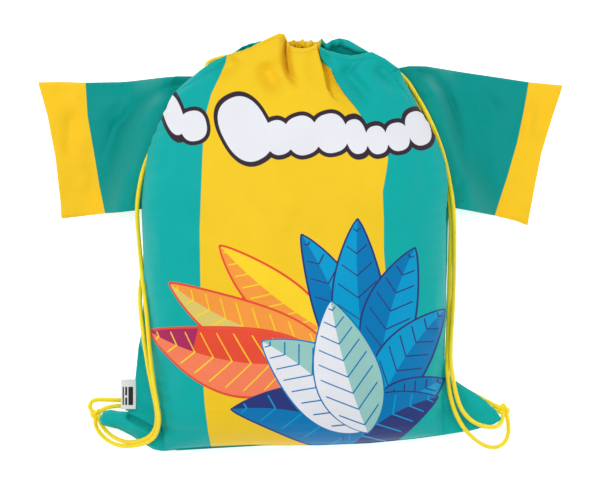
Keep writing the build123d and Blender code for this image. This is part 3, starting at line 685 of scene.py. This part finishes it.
def rim_rows(plan, z, turn, drop, radius=2.6):
    """Extra rows that roll the free top edge over into the mouth."""
    inward = plan[-1] - plan[-6]
    inward /= np.maximum(np.linalg.norm(inward, axis=1), 1e-6)[:, None]
    rows = []
    for a in turn:
        ang = math.radians(a)
        rows.append((plan[-1] + inward * radius * math.sin(ang) * 0.6, z[-1] - radius * (1 - math.cos(ang))))
    last_plan, last_z = rows[-1]
    for d in drop:
        rows.append((last_plan - inward * 0.10 * d, last_z - d))
    return np.array([np.column_stack([p, h]) for p, h in rows])


deep = ((across < 0) * step(Y, 64, 84) + (across > 0) * step(Y, 18, 42)) * (1 - step(Y, 136, 150))
deep = deep * step(np.abs(across), 0.8, 0.93) * np.sign(across)
front_plan = front_plan.copy()
front_plan[..., 0] += deep * (np.where(across < 0, 2.5, 0.6) - 8.5 * (1 - step(front_z - 50, 6.5, 17)))
front_pts = np.dstack([front_plan, front_z])
rim = rim_rows(front_plan, front_z, (35, 80, 125, 170), (3, 6, 9, 13, 17))
front_all = np.concatenate([front_pts, rim], axis=0)
flat = flat_position(front_all[..., :2], front_all[..., 2])
attributes = {"stripe": between_stripes(front_all[..., 0], front_all[..., 1])}
attributes.update(print_layers(front_all[..., 0], front_all[..., 1]))
front = grid_object("front_of_body", front_all, flat, attributes)
front.data.materials.append(cloth_material("printed_front", TEAL, YELLOW, INK_LAYERS, rough=0.56, sheen=0.05))
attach(front, "bag")
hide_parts("front_panel", "front_channel")

# ---------------------------------------------------------------- back of the body
back_plan = body_patch(BACK_TOP_EDGE)
X, Y = back_plan[..., 0], back_plan[..., 1]
across_b, up_b, left_b, right_b = body_frame(X, Y)
edge_b = edge_height(X, Y, left_b, right_b) - table(BACK_DROP, Y)
keel = np.interp(up_b, fine, keel_line)
bulge_b = np.clip(1 - np.abs(across_b) ** 3.4, 0, 1) ** (1 / 2.2)
bulge_b = np.maximum(bulge_b, step(Y, 150, 185))
back_z = edge_b - np.maximum(edge_b - keel, 0) * bulge_b
back_z = ear_shape(X, Y, back_z, left_b, False)
back_z += step(up_b, 8, 30) * (1 - step(bulge_b, 0.9, 0.999)) * step(bulge_b, 0.02, 0.3) * 1.6 * ripple(X, Y, 30, 21)
pleats = step(Y, 118, 172)
back_z += pleats * (2.6 * np.sin(X * 2 * math.pi / 21 + 1.2 * np.sin(X / 17)) + 0.8 * np.sin(X * 2 * math.pi / 9.5))
back_z = np.maximum(sewn_shut(back_plan, back_z, left_b, right_b), 0.35)
# the gathered edge of the back stands up behind the front's pleats
t = np.linspace(0, 1, COLS)
edge_x = back_plan[-1, :, 0]
arch = 0.25 + 0.75 * np.sin(math.pi * t) ** 0.5     # the wall is low at both slits
waves = np.sin(edge_x * 2 * math.pi / 9.5 + 1.5 * np.sin(edge_x / 9))
waves = waves * step(edge_x, -60, -30) * (1 - step(edge_x, 22, 30))
rise = np.array([3, 8, 14, 20, 24, 26.5, 28])
wall = []
middle_part = step(edge_x, -22, -12) * (1 - step(edge_x, 16, 24))
for h in rise:
    lean = h / rise[-1]
    sway = 7.5 * math.sin(math.pi * min(1.0, lean * 1.12)) * middle_part
    sway = sway + 3.0 * math.sin(math.pi * lean) * (1 - middle_part)
    y_row = back_plan[-1, :, 1] + waves * (0.5 + 1.3 * lean) * (0.35 + 0.65 * middle_part) - 1.0 * lean - sway
    wall.append(np.column_stack([edge_x + 0.5 * waves * lean, y_row, back_z[-1] + h * arch]))
# its lip bends over towards the front, ruffled in the middle, and its inner layer covers the cords
open_part = step(edge_x, 20, 27) * (1 - step(edge_x, 50, 64))
gather = 1.7 * np.sin(edge_x * 2 * math.pi / 8.2 + 0.4) * (1 - step(edge_x, 32, 46)) + 2.4 * step(edge_x, 34, 44)
LIP = ((1.6, -0.5), (3.4, -0.2), (5.4, 0.5), (7.2, 2.2), (8.6, 5.5), (9.4, 12.0), (9.8, 19.0), (10.6, 23.0),
    (16.0, 25.0), (24.0, 27.0))
lip = []
for forward, down in LIP:
    reach_out = forward * middle_part + (1 - middle_part) * (0.35 * forward if down < 20 else forward - 6.8)
    reach_out = reach_out + open_part * (0.5 * forward if down < 20 else 5.0)
    ruffle = 1.5 * waves * middle_part * math.exp(-(max(down, 0) / 6) ** 2)
    ruffle = ruffle + open_part * gather * min(1.0, forward / 6) * (0.62 * max(down, 0) * 0.35 * (down < 14) + 1.0)
    fall = down * (0.35 + 0.65 * np.sin(math.pi * t) ** 0.5)
    row = wall[-1] + np.column_stack([0 * waves, -reach_out + 0.5 * waves * middle_part, ruffle - fall])
    row[:, 2] = np.maximum(row[:, 2], np.minimum(wall[-1][:, 2] - 1.0, 46 - 0.55 * max(0.0, forward - 10)))
    lip.append(row)
back_all = np.concatenate([np.dstack([back_plan, back_z]), np.array(wall), np.array(lip)], axis=0)
flat = flat_position(back_all[..., :2], back_all[..., 2])
back_stripe = np.minimum(back_all[..., 0] + 26, 19 - back_all[..., 0])
back_stripe = np.where(back_all[..., 1] > 160, back_stripe, -20)
back = grid_object("back_of_body", back_all, flat, {"stripe": back_stripe}, flip=True)
back.data.materials.append(cloth_material("plain_back", TEAL, YELLOW, rough=0.48, sheen=0.05))
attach(back, "bag")
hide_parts("back_panel", "back_channel")

# ---------------------------------------------------------------- sleeves
SLOPE = np.array([(-40, 49.4), (0, 49.4), (5.5, 46.2), (11, 39.5), (17, 29.5), (24, 18.5), (31, 10.0), (39, 5.6),
    (51, 4.5), (200, 4.4)])
CLEAR = np.array([(-40, 0.8), (0, 1.0), (5.5, 1.4), (11, 2.0), (17, 2.8), (24, 3.6), (31, 4.4), (39, 5.2),
    (51, 6.2), (200, 6.4)])
reach = np.linspace(-60, 200, 1041)
slope_line, clear_line = (smooth(table(rows, reach), 60) for rows in (SLOPE, CLEAR))

LEFT = {
    "name": "left", "hinge": ((-159.0, 30.8), (-117.0, 156.2)), "out": -1,
    "inner": [(-145.6, 32.8), (-144.6, 50), (-142.0, 68.5), (-134.6, 91), (-123.6, 113), (-112, 134.4),
        (-105.5, 144), (-98, 154.6)],
    "outer": [(-221.4, 24), (-222, 38.5), (-226.6, 80), (-234, 119), (-243, 150.6)],
    "low": [(-145.6, 32.8), (-151.5, 31.2), (-166, 29.6), (-180.6, 28.8), (-200, 26.6), (-221.4, 24)],
    "high": [(-98, 154.6), (-112, 154.6), (-138, 152.8), (-166, 150.8), (-199, 150.2), (-222, 151),
        (-243, 150.6)],
    "cuff": [(-199.4, 156), (-199, 150.4), (-197, 119), (-191.4, 87), (-186, 55), (-180, 28), (-179, 20)],
    "folds": [([(-100, 150), (-130, 140), (-152, 126), (-170, 108), (-177, 86), (-179, 60)], -3.4, 6.0, 0.1, 0.5),
              ([(-104, 140), (-134, 128), (-158, 106), (-166, 80), (-166, 52)], 1.6, 9.0, 0.2, 0.5),
              ([(-134, 150), (-156, 144), (-180, 128), (-196, 104)], 1.3, 8.0, 0.2, 0.5),
              ([(-208, 128), (-212, 112), (-214, 92), (-212, 76)], -1.6, 6.5, 0.3, 0.3),
              ([(-158, 84), (-154, 62), (-152, 44), (-153, 34)], -1.2, 6.0, 0.5, 0.1),
              ([(-232, 144), (-218, 140), (-206, 140)], -0.8, 6.0, 0.3, 0.3),
              ([(-206, 46), (-200, 62), (-204, 84)], 0.9, 7.0, 0.3, 0.3)],
}
RIGHT = {
    "name": "right", "hinge": ((152.5, 31.8), (107.0, 162.8)), "out": 1,
    "inner": [(135.2, 34.4), (134.6, 50), (131.8, 66), (126.8, 84), (117, 107), (104, 127), (95.6, 143.4),
        (88, 161.6)],
    "outer": [(211, 17.6), (216.5, 48), (224, 85.5), (233.4, 116.4), (243.8, 147.6)],
    "low": [(135.2, 34.4), (142.6, 33.4), (156.4, 31), (180.3, 26.8), (200.6, 21.8), (211, 17.6)],
    "high": [(88, 161.6), (100, 164), (117, 164), (147, 160.4), (184, 155), (212, 150.7), (243.8, 147.6)],
    "cuff": [(213, 158), (212.2, 150.7), (208, 126), (201.5, 95), (192, 62), (180.3, 26.8), (177, 16)],
    "folds": [([(103, 150), (110, 158), (122, 156), (134, 143), (142, 122), (152, 84), (160, 50)],
               -4.4, 5.0, 0.1, 0.4),
              ([(112, 148), (124, 140), (132, 120), (138, 90)], 2.6, 7.0, 0.2, 0.5),
              ([(120, 160), (140, 152), (156, 130), (168, 96), (174, 60)], 1.8, 8.0, 0.2, 0.4),
              ([(168, 152), (178, 128), (182, 100)], -1.2, 7.0, 0.3, 0.4),
              ([(150, 66), (146, 50), (148, 38)], -1.8, 5.0, 0.3, 0.1),
              ([(216, 136), (212, 112), (208, 88)], -1.2, 6.0, 0.3, 0.4),
              ([(226, 140), (222, 116), (214, 84)], 0.9, 6.0, 0.3, 0.4)],
}
S_ROWS, S_COLS = 150, 130
HEM_COLS = 24            # columns of the sleeve that the turned hem covers


def sleeve_patch(d):
    """The plan of a sleeve as rows and columns from seam to cuff."""
    low = edge_curve(d["low"], S_COLS, 2)
    high = edge_curve(d["high"], S_COLS, 2)
    inner = edge_curve(d["inner"], S_ROWS, 3, 0.3)
    outer = edge_curve(d["outer"], S_ROWS, 3, 0.3)
    inner[0], inner[-1], outer[0], outer[-1] = low[0], high[0], low[-1], high[-1]
    return coons(low, high, inner, outer)


SLEEVE = cloth_material("sleeve_cloth", TEAL_DEEP, CUFF, rough=0.5, sheen=0.05)
HEM = cloth_material("cuff_hem", CUFF, rough=0.55, sheen=0.05)


def sleeve(d, body):
    """Two sheets that meet at their edges, folded and sagging, and the hem inside their cuff."""
    plan = sleeve_patch(d)
    x, y = plan[..., 0], plan[..., 1]
    (ax, ay), (bx, by) = d["hinge"]
    hinge = math.hypot(bx - ax, by - ay)
    # distance out from the hinge line
    out = d["out"] * ((x - ax) * (by - ay) - (y - ay) * (bx - ax)) / hinge
    middle = np.interp(out, reach, slope_line)
    clear = np.interp(out, reach, clear_line)
    t = (2 * spread(S_ROWS, 0.3) - 1)[:, None] * np.ones((1, S_COLS))
    lift = np.clip(1 - np.abs(t) ** 6, 0, 1) ** 0.5
    wander = np.zeros_like(x)
    for crease in d["folds"]:
        wander += fold(x, y, *crease)
    wander *= lift
    wander += 0.30 * ripple(x, y, 40, 31 + d["out"]) * lift + 0.12 * ripple(x, y, 17, 41) * lift
    free = step(out, 6, 40)
    wander *= 2.0
    hang = 1 - step(out, 26, 44)
    upper = middle + clear / 2 * lift + 0.9 + wander
    lower = middle - clear / 2 * (0.4 + 0.6 * lift) + 0.15 * ripple(x, y, 50, 51) * lift * free + wander * hang
    lower = np.maximum(lower, 0.7)
    upper = np.maximum(upper, lower + 0.9)
    seam = np.clip(1 - (1 - np.abs(t)) * 26, 0, 1)
    meet = (upper + lower) / 2
    upper = upper * (1 - seam) + (meet + 0.28) * seam
    lower = lower * (1 - seam) + (meet - 0.28) * seam
    pucker = np.exp(-((1 - np.abs(t)) * 60 / 5) ** 2) * 0.35 * np.sin(x * 2 * math.pi / 8.5)
    upper = upper + pucker * (1 - seam)
    dist, side, _ = line_distance(x, y, d["cuff"])
    edge = dist * side * d["out"]
    # the turned hem: a ring of cloth inside the cuff
    inside_top, inside_low = (np.dstack([plan, z])[2:-2, S_COLS - HEM_COLS:] for z in (upper - 0.75, lower + 0.75))
    ring = np.concatenate([inside_top, inside_low[::-1], inside_top[:1]], axis=0)
    hem = grid_object(f"cuff_hem_{d['name']}_cloth", ring, ring[..., :2])
    hem.data.materials.append(HEM)
    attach(hem, body)
    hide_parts(f"cuff_hem_{d['name']}")
    made = []
    for label, z, flip in (("front", upper, d["out"] < 0), ("back", lower, d["out"] > 0)):
        obj = grid_object(f"sleeve_{d['name']}_{label}_cloth", np.dstack([plan, z]), plan, {"stripe": edge},
                          flip=flip)
        thicken(obj, 0.00035)
        obj.data.materials.append(SLEEVE)
        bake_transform(obj)
        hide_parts(f"sleeve_{d['name']}_{label}")
        made.append(obj)
    return made, hem


left_made, left_hem = sleeve(LEFT, "left_sleeve")
right_made, right_hem = sleeve(RIGHT, "right_sleeve")

# ---------------------------------------------------------------- cords
CORD_D = 0.004
BRAID = cord_material("braided_cord", CORD)
ROUTES = {
    "left_front": [(-64.4, 157.9, 61), (-84, 149.1, 57), (-100, 139.5, 53), (-114, 130.5, 53.2),
        (-124.2, 113.6, 53.4), (-133.2, 94, 54), (-142.6, 74, 56.5), (-147.8, 52, 57), (-150, 31, 55),
        (-148.6, 9, 48.5), (-146.4, -14, 49), (-143.8, -37, 58), (-140.8, -59, 65), (-139, -80.5, 67.5),
        (-137.2, -103, 65.5), (-134.6, -125, 62.5), (-131.2, -144.5, 61.5), (-129, -158.5, 59.5),
        (-130.2, -169.6, 53), (-134.5, -178.4, 43.5), (-144.3, -184, 37.5), (-158.5, -186.6, 28),
        (-171, -185.4, 18), (-181.8, -179.4, 10), (-188.6, -171, 7), (-190.4, -163, 7.4),
        (-189.4, -157.6, 7.4)],
    "left_back": [(-52, 167.6, 34.6), (-68.8, 163.3, 35.6), (-87, 153.8, 42), (-103.8, 145.2, 46.2),
        (-118.6, 136.8, 45.4), (-128, 121, 41.5), (-135.6, 103, 40), (-141.6, 84.5, 38), (-143.5, 65, 33),
        (-143.2, 44, 29.5), (-142.4, 22.5, 27.5), (-141.9, 1, 28), (-143.8, -19, 33), (-147.2, -38, 44),
        (-147, -57, 53.5), (-144.4, -77, 59), (-141.6, -99, 58), (-138, -120, 56), (-133.6, -141, 55.6),
        (-131, -156, 53.5), (-132.2, -167.6, 47.5), (-137, -176, 41.5), (-146, -181, 35.5),
        (-158.6, -183.2, 25.5), (-169, -180.2, 19.5), (-177.2, -175.4, 11.5), (-183, -169.2, 7.6),
        (-186.2, -163, 7), (-187.8, -157.4, 7.4)],
    "right_front": [(86, 161, 60), (97, 152.5, 57), (103.8, 141.5, 56), (112.6, 127.5, 55.4),
        (120.8, 111.5, 55.2), (127.8, 94.5, 55), (133.4, 76.5, 56.6), (137.2, 57.5, 57.6), (140.2, 39, 57.4),
        (141.8, 19, 52.5), (142, -2, 43.5), (142, -24, 38.5), (141.4, -46, 36.2), (140.4, -68, 37.4),
        (138.8, -89, 40.6), (138.4, -108.5, 42.6), (141.2, -125.5, 41), (144, -139.6, 40), (148.2, -151.4, 38),
        (155.2, -160.4, 35), (164, -166.2, 31.5), (174, -168.9, 27), (182.8, -168.6, 20), (187.8, -163.4, 12.8),
        (188.6, -154, 8.6)],
    "right_back": [(86, 160.8, 34), (97, 153, 36), (101.5, 144.5, 44), (105.8, 133.5, 51.5), (110.4, 121, 53.2),
        (116.6, 105.6, 53.4), (123.4, 89, 53.4), (129.6, 72.5, 53.3), (135.2, 54, 53.3), (138, 36, 53),
        (138.6, 15, 47.5), (138.2, -7, 41), (137.8, -29, 36), (137.2, -51, 34.5), (136.8, -73, 35.5),
        (135.8, -94, 39), (135.2, -113, 41), (136.6, -129, 40.5), (139.2, -144, 39.5), (144.4, -158.6, 37.5),
        (152, -171, 34), (161.4, -180.2, 26.5), (171.4, -186.8, 17.5), (181.4, -188.6, 10.5), (189.8, -184.4, 7),
        (193.6, -175.6, 6), (193.4, -165.6, 6.2), (192, -158.4, 7), (189.4, -153.4, 7.6)],
    "tail_left_long": [(-189.4, -158, 7.2), (-195.6, -152.6, 7.6), (-193.8, -145.4, 8), (-187.2, -143.6, 8.8),
        (-177.5, -143.9, 9.6), (-167.5, -144.3, 10), (-157.5, -144, 10), (-147.5, -142.6, 10.4)],
    "tail_left_short": [(-188.2, -156.6, 7.6), (-181.4, -151.6, 9), (-172, -149.8, 9.8), (-163, -149.5, 10),
        (-154, -149.3, 10), (-146, -148.5, 9.6)],
    "tail_right_long": [(188, -152.6, 8), (177.4, -147.4, 9.8), (169.2, -143.2, 11), (160.4, -138.2, 11.6),
        (151.4, -134.2, 11.6)],
    "tail_right_short": [(187.6, -154.2, 7.2), (176, -152.4, 8.8), (166.8, -147.8, 10.8),
        (157.6, -142.7, 11.4)],
    "left_run": [(-64.4, 157.9, 61), (-44.8, 164.7, 64), (-13.6, 169.5, 66), (16, 166.5, 65), (29.7, 162.5, 65),
        (48.8, 158.2, 63), (66.3, 154.5, 61), (82, 152, 60), (93.4, 147.6, 59.4), (99.6, 144.9, 46.6),
        (93.2, 148, 33), (82, 154, 34), (66.3, 162.9, 34), (48.8, 170.2, 33.6), (29.7, 174.5, 33.4),
        (-13.7, 175, 33.4), (-35.2, 171.9, 33.6), (-52, 167.6, 34.6)],
    "right_run": [(86, 161, 60), (69.7, 161.5, 61), (51.2, 164, 63), (30.3, 168.5, 65), (-14.4, 173, 65),
        (-47.2, 170.3, 64), (-67.6, 164.1, 60), (-80, 159.6, 59), (-88.2, 162.9, 46.2), (-81, 171, 33.5),
        (-54, 175.4, 34.4), (-36.8, 177.4, 34), (-14.3, 179.2, 33.4), (30.3, 178.8, 33.4), (51.2, 174.8, 33.6),
        (69.7, 167.2, 34), (86, 160.8, 34)],
}
STRAND_NODES = {name: (name if name.startswith("tail") else f"cord_{name}") for name in ROUTES}


def spline_points(name, points):
    """The smooth line with these points as its control points, as Blender evaluates it."""
    curve = bpy.data.curves.new(f"{name}_route", "CURVE")
    curve.dimensions = "3D"
    curve.resolution_u = 14
    spline = curve.splines.new("NURBS")
    spline.points.add(len(points) - 1)
    for point, xyz in zip(spline.points, points):
        point.co = (xyz[0] * MM, xyz[1] * MM, xyz[2] * MM, 1.0)
    spline.order_u = 3
    spline.use_endpoint_u = True
    route = add_object(f"{name}_route", curve)
    bpy.context.view_layer.update()
    mesh = bpy.data.meshes.new_from_object(route)
    out = np.array([v.co for v in mesh.vertices], float)
    bpy.data.objects.remove(route)
    bpy.data.meshes.remove(mesh)
    return out


def tube(name, path, radius, closed=False):
    """A braided cord's skin along a path in metres: slight ridges cross over it."""
    around, spacing, braid, pitch = 20, 0.0007, 0.045, 0.0056
    d = path_lengths(path)
    count = max(8, int(d[-1] / spacing))
    t = np.linspace(0, d[-1], count)
    p = np.stack([np.interp(t, d, path[:, k]) for k in range(3)], axis=1)
    tangent = np.gradient(p, axis=0)
    tangent /= np.linalg.norm(tangent, axis=1)[:, None]
    side = np.zeros_like(p)
    first = np.cross(tangent[0], (0, 0, 1.0))
    if np.linalg.norm(first) < 1e-3:
        first = np.cross(tangent[0], (0, 1.0, 0))
    side[0] = first / np.linalg.norm(first)
    for k in range(1, count):
        v = side[k - 1] - tangent[k] * np.dot(side[k - 1], tangent[k])
        side[k] = v / np.linalg.norm(v)
    other = np.cross(tangent, side)
    ang = np.linspace(0, 2 * math.pi, around, endpoint=False)
    ph = t[:, None] / pitch * 2 * math.pi
    ridges = np.maximum(np.sin(4 * ang[None] + ph), np.sin(4 * ang[None] - ph))
    r = radius * (1 - braid + braid * ridges)
    r *= 1 + 0.02 * np.sin(t * 2 * math.pi / 0.021)[:, None]
    if not closed:
        r[0] *= 0.72
        r[-1] *= 0.72
    pts = p[:, None] + r[..., None] * (np.cos(ang)[None, :, None] * side[:, None]
                                       + np.sin(ang)[None, :, None] * other[:, None])
    flat_uv = np.dstack([t[:, None] * np.ones((1, around)), radius * ang[None] * np.ones((count, 1))]) / MM
    obj = grid_object(name, pts / MM, flat_uv, wrap=True)
    if not closed:
        bm = bmesh.new()
        bm.from_mesh(obj.data)
        bm.verts.ensure_lookup_table()
        bm.faces.new([bm.verts[k] for k in range(around)][::-1])
        bm.faces.new([bm.verts[len(bm.verts) - around + k] for k in range(around)])
        bm.to_mesh(obj.data)
        bm.free()
    obj.data.materials.append(BRAID)
    return obj, p


def knot(name, turn, tilt, size):
    """An overhand knot pulled snug in the doubled cord."""
    lo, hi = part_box(name)
    at = np.array((lo + hi) / 2)
    s = np.linspace(0, 2 * math.pi, 220)
    p = np.stack([np.sin(s) + 1.7 * np.sin(2 * s), np.cos(s) - 1.7 * np.cos(2 * s), -1.15 * np.sin(3 * s)],
                 axis=1) * size
    c, w = math.cos(turn), math.sin(turn)
    p = p @ np.array([[c, w, 0], [-w, c, 0], [0, 0, 1]])
    c, w = math.cos(tilt), math.sin(tilt)
    p = p @ np.array([[1, 0, 0], [0, c, w], [0, -w, c]])
    obj, _ = tube(f"{name}_braid", p + at, 0.0019, closed=True)
    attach(obj, "bag")
    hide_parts(name)
    return obj


knots = {"left_front": knot("knot_left", 0.5, 0.35, 0.0016), "right_front": knot("knot_right", 1.1, -0.3, 0.0016)}
for name, points in ROUTES.items():
    path = spline_points(name, points)
    obj, used = tube(f"{name}_braid", path, CORD_D / 2)
    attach(obj, "bag")
    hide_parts(STRAND_NODES[name])

# ---------------------------------------------------------------- side label
lo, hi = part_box("side_label")
label_h = (hi.y - lo.y) / MM
loop = []
x0, x1 = lo.x / MM, hi.x / MM + 3.0
zm, gap = (lo.z + hi.z) / 2 / MM, 0.55
for s in np.linspace(0, 1, 26):
    loop.append((x1 + (x0 + 0.8 - x1) * s, zm + gap + 0.7 * math.sin(math.pi * s)))
for a in np.linspace(90, 270, 12)[1:-1]:
    loop.append((x0 + 0.8 + 0.8 * math.cos(math.radians(a)), zm + gap * math.sin(math.radians(a))))
for s in np.linspace(0, 1, 26):
    loop.append((x0 + 0.8 + (x1 - x0 - 0.8) * s, zm - gap + 0.2 * math.sin(math.pi * s)))
loop = np.array(loop)
ys = np.linspace(lo.y / MM, hi.y / MM, 34)
label_pts = np.zeros((len(ys), len(loop), 3))
label_pts[..., 0] = loop[None, :, 0] + 0.5 * np.sin((ys - ys[0]) / label_h * math.pi)[:, None] * 0.6
label_pts[..., 1] = ys[:, None]
label_pts[..., 2] = loop[None, :, 1] + (0.5 * np.sin((ys - ys[0]) / label_h * 5)[:, None]
                                        * ((x1 - loop[:, 0]) / (x1 - x0))[None])
lx, ly = label_pts[..., 0], label_pts[..., 1]
side_up = (np.arange(len(loop)) < 30)[None, :] * np.ones_like(lx)


# plain printed bars: place across and up, width and height
BARS = ((9.2, 0.0, 4.4, 17.0), (5.0, 4.4, 1.9, 8.0), (5.0, -4.9, 1.9, 7.0), (2.3, 0.0, 1.3, 17.0))
mid_y = (lo.y + hi.y) / 2 / MM - 1.5
mark = np.maximum.reduce([np.minimum(w / 2 - np.abs(lx - (x0 + cx)), h / 2 - np.abs(ly - (mid_y + cy)))
                          for cx, cy, w, h in BARS])
mark = np.where(side_up > 0, mark, -5)
label = grid_object("label_strip", label_pts, np.dstack([lx, ly]), {"stripe": mark}, flip=True)
thicken(label, 0.00022)
label.data.materials.append(cloth_material("label_tape", srgb(222, 223, 222), srgb(40, 42, 48), weave=2200.0,
                                           rough=0.42, sheen=0.1, relief=0.00003))
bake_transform(label)
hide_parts("side_label")


# ---------------------------------------------------------------- stitching
def stitches(name, path, body, colour_material, pitch=2.6, long=1.7, wide=0.30):
    """A row of small raised stitches along a path of points in millimetres."""
    d = path_lengths(path)
    verts, faces = [], []
    for s in np.arange(pitch, d[-1] - pitch, pitch):
        a, b = (np.array([np.interp(at, d, path[:, k]) for k in range(3)]) for at in (s - long / 2, s + long / 2))
        along = (b - a) / max(np.linalg.norm(b - a), 1e-6)
        side = np.cross(along, (0, 0, 1.0))
        side /= max(np.linalg.norm(side), 1e-6)
        upv = np.cross(side, along)
        base = len(verts)
        for f, r in ((0, 0.25), (0.18, 0.9), (0.5, 1.0), (0.82, 0.9), (1, 0.25)):
            c = a + (b - a) * f + upv * (0.10 + 0.16 * math.sin(math.pi * f))
            for k in range(6):
                ang = 2 * math.pi * k / 6
                verts.append((c + wide * r * (side * math.cos(ang) + 0.8 * upv * math.sin(ang))) * MM)
        for ring in range(4):
            for k in range(6):
                q = base + ring * 6
                faces.append((q + k, q + (k + 1) % 6, q + 6 + (k + 1) % 6, q + 6 + k))
        faces.append(tuple(base + k for k in range(6))[::-1])
        faces.append(tuple(base + 24 + k for k in range(6)))
    obj = add_object(name, smooth_mesh(name, [tuple(v) for v in verts], faces))
    obj.data.materials.append(colour_material)
    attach(obj, body)


THREAD = thread_material("teal_thread", srgb(16, 140, 134))
THREAD_YELLOW = thread_material("yellow_thread", srgb(226, 184, 30))


def on_front(points, count=300):
    """The front's surface under a line drawn on it in plan."""
    p = curve_through(points, count, 4)
    z, _, _, left, _ = front_height(p[:, 0], p[:, 1])
    z = ear_shape(p[:, 0], p[:, 1], z, left, True)
    return np.column_stack([p, z + 0.12])


tunnel_row = front_pts[ROWS - 7][10:-10] + np.array([0, 0, 0.1])
gold = between_stripes(tunnel_row[:, 0], tunnel_row[:, 1]) > 0
stitches("tunnel_stitch_yellow", tunnel_row[gold], "bag", THREAD_YELLOW)
stitches("tunnel_stitch_teal", tunnel_row[~gold & (tunnel_row[:, 0] > 16)], "bag", THREAD)
LEFT_SLIT = [(-110, 137.4), (-103, 143.6), (-92, 151.6), (-80, 159), (-68, 165)]
stitches("slit_stitch_left", on_front(LEFT_SLIT), "bag", THREAD)
stitches("slit_stitch_right", on_front([(101, 131), (93.5, 143), (87, 153)]), "bag", THREAD)

# ---------------------------------------------------------------- CAD nodes that stay
TRIM = cloth_material("seam_tape", TEAL_DEEP, rough=0.6, sheen=0.2)
TAPE = cloth_material("woven_tape", TEAL_DEEP, weave=1400.0, rough=0.6, sheen=0.2, relief=0.0001)


def plan_uv(obj):
    """Cloth coordinates for a carried-over node, from its own place."""
    mesh = obj.data
    layer = mesh.uv_layers.get("flat") or mesh.uv_layers.new(name="flat")
    co = np.array([v.co for v in mesh.vertices], float)
    loops = np.zeros(len(mesh.loops), int)
    mesh.loops.foreach_get("vertex_index", loops)
    picked = co[loops]
    uv = np.column_stack([picked[:, 0] + picked[:, 2], picked[:, 1] + 0.5 * picked[:, 2]])
    layer.data.foreach_set("uv", uv.astype(np.float32).ravel())


def close_loop(name, out, keep):
    """The tape loop pulled in around its two cords: narrower along out, about its inner side."""
    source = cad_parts[name]
    mesh = source.data.copy()
    obj = add_object(f"{name}_tape", mesh)
    obj.matrix_world = source.matrix_world.copy()
    direction = np.array(out) / np.linalg.norm(out)
    co = np.array([v.co for v in mesh.vertices], float)
    along = co @ direction
    inner = along.min()
    co += ((along - inner) * (keep - 1))[:, None] * direction
    mesh.vertices.foreach_set("co", co.astype(np.float32).ravel())
    mesh.update()
    plan_uv(obj)
    obj.data.materials.clear()
    obj.data.materials.append(TAPE)
    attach(obj, "bag")
    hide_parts(name)


close_loop("corner_loop_right", (0.475, 0.88, 0.0), 0.72)
for node, mat in (("side_seam_left", TRIM), ("side_seam_right", TRIM), ("bottom_seam", TRIM), ("bar_tacks", THREAD),
                  ("corner_loop_left", TAPE)):
    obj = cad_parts[node]
    plan_uv(obj)
    obj.data.materials.clear()
    obj.data.materials.append(mat)

# ---------------------------------------------------------------- floor and light
n = Nodes("floor")
shade = n.math("MULTIPLY_ADD", n.noise(n.place(), 3.0), 0.01, 0.93)
n.surface(n.mix(1.0, n.rgb((1, 1, 1, 1)), shade, "MULTIPLY"), 0.9, Specular_IOR_Level=0.1,
          Emission_Color=(1, 1, 1, 1), Emission_Strength=0.58)
floor_mesh = bpy.data.meshes.new("floor")
floor_mesh.from_pydata([(x, y, -0.0002) for x, y in ((-4, -4), (4, -4), (4, 4), (-4, 4))], [], [(0, 1, 2, 3)])
floor = add_object("floor", floor_mesh)
floor.data.materials.append(n.material)

world = bpy.data.worlds.new("studio")
world.use_nodes = True
background = world.node_tree.nodes["Background"]
background.inputs["Color"].default_value = (1, 1, 1, 1)
background.inputs["Strength"].default_value = 0.56
scene.world = world


def softbox(name, place, aim, size, power):
    light = bpy.data.lights.new(name, "AREA")
    light.shape = "RECTANGLE"
    light.size, light.size_y = size
    light.energy = power
    obj = add_object(name, light)
    obj.location = place
    obj.rotation_euler = (Vector(aim) - Vector(place)).to_track_quat("-Z", "Y").to_euler()


softbox("key", (-0.95, 0.5, 1.85), (0, 0, 0.03), (0.8, 0.9), 15)
softbox("top", (0.45, 0.3, 1.9), (0.1, 0, 0.03), (0.9, 0.9), 7)
softbox("fill", (1.6, -0.2, 1.0), (0, 0, 0.03), (1.4, 1.0), 4)
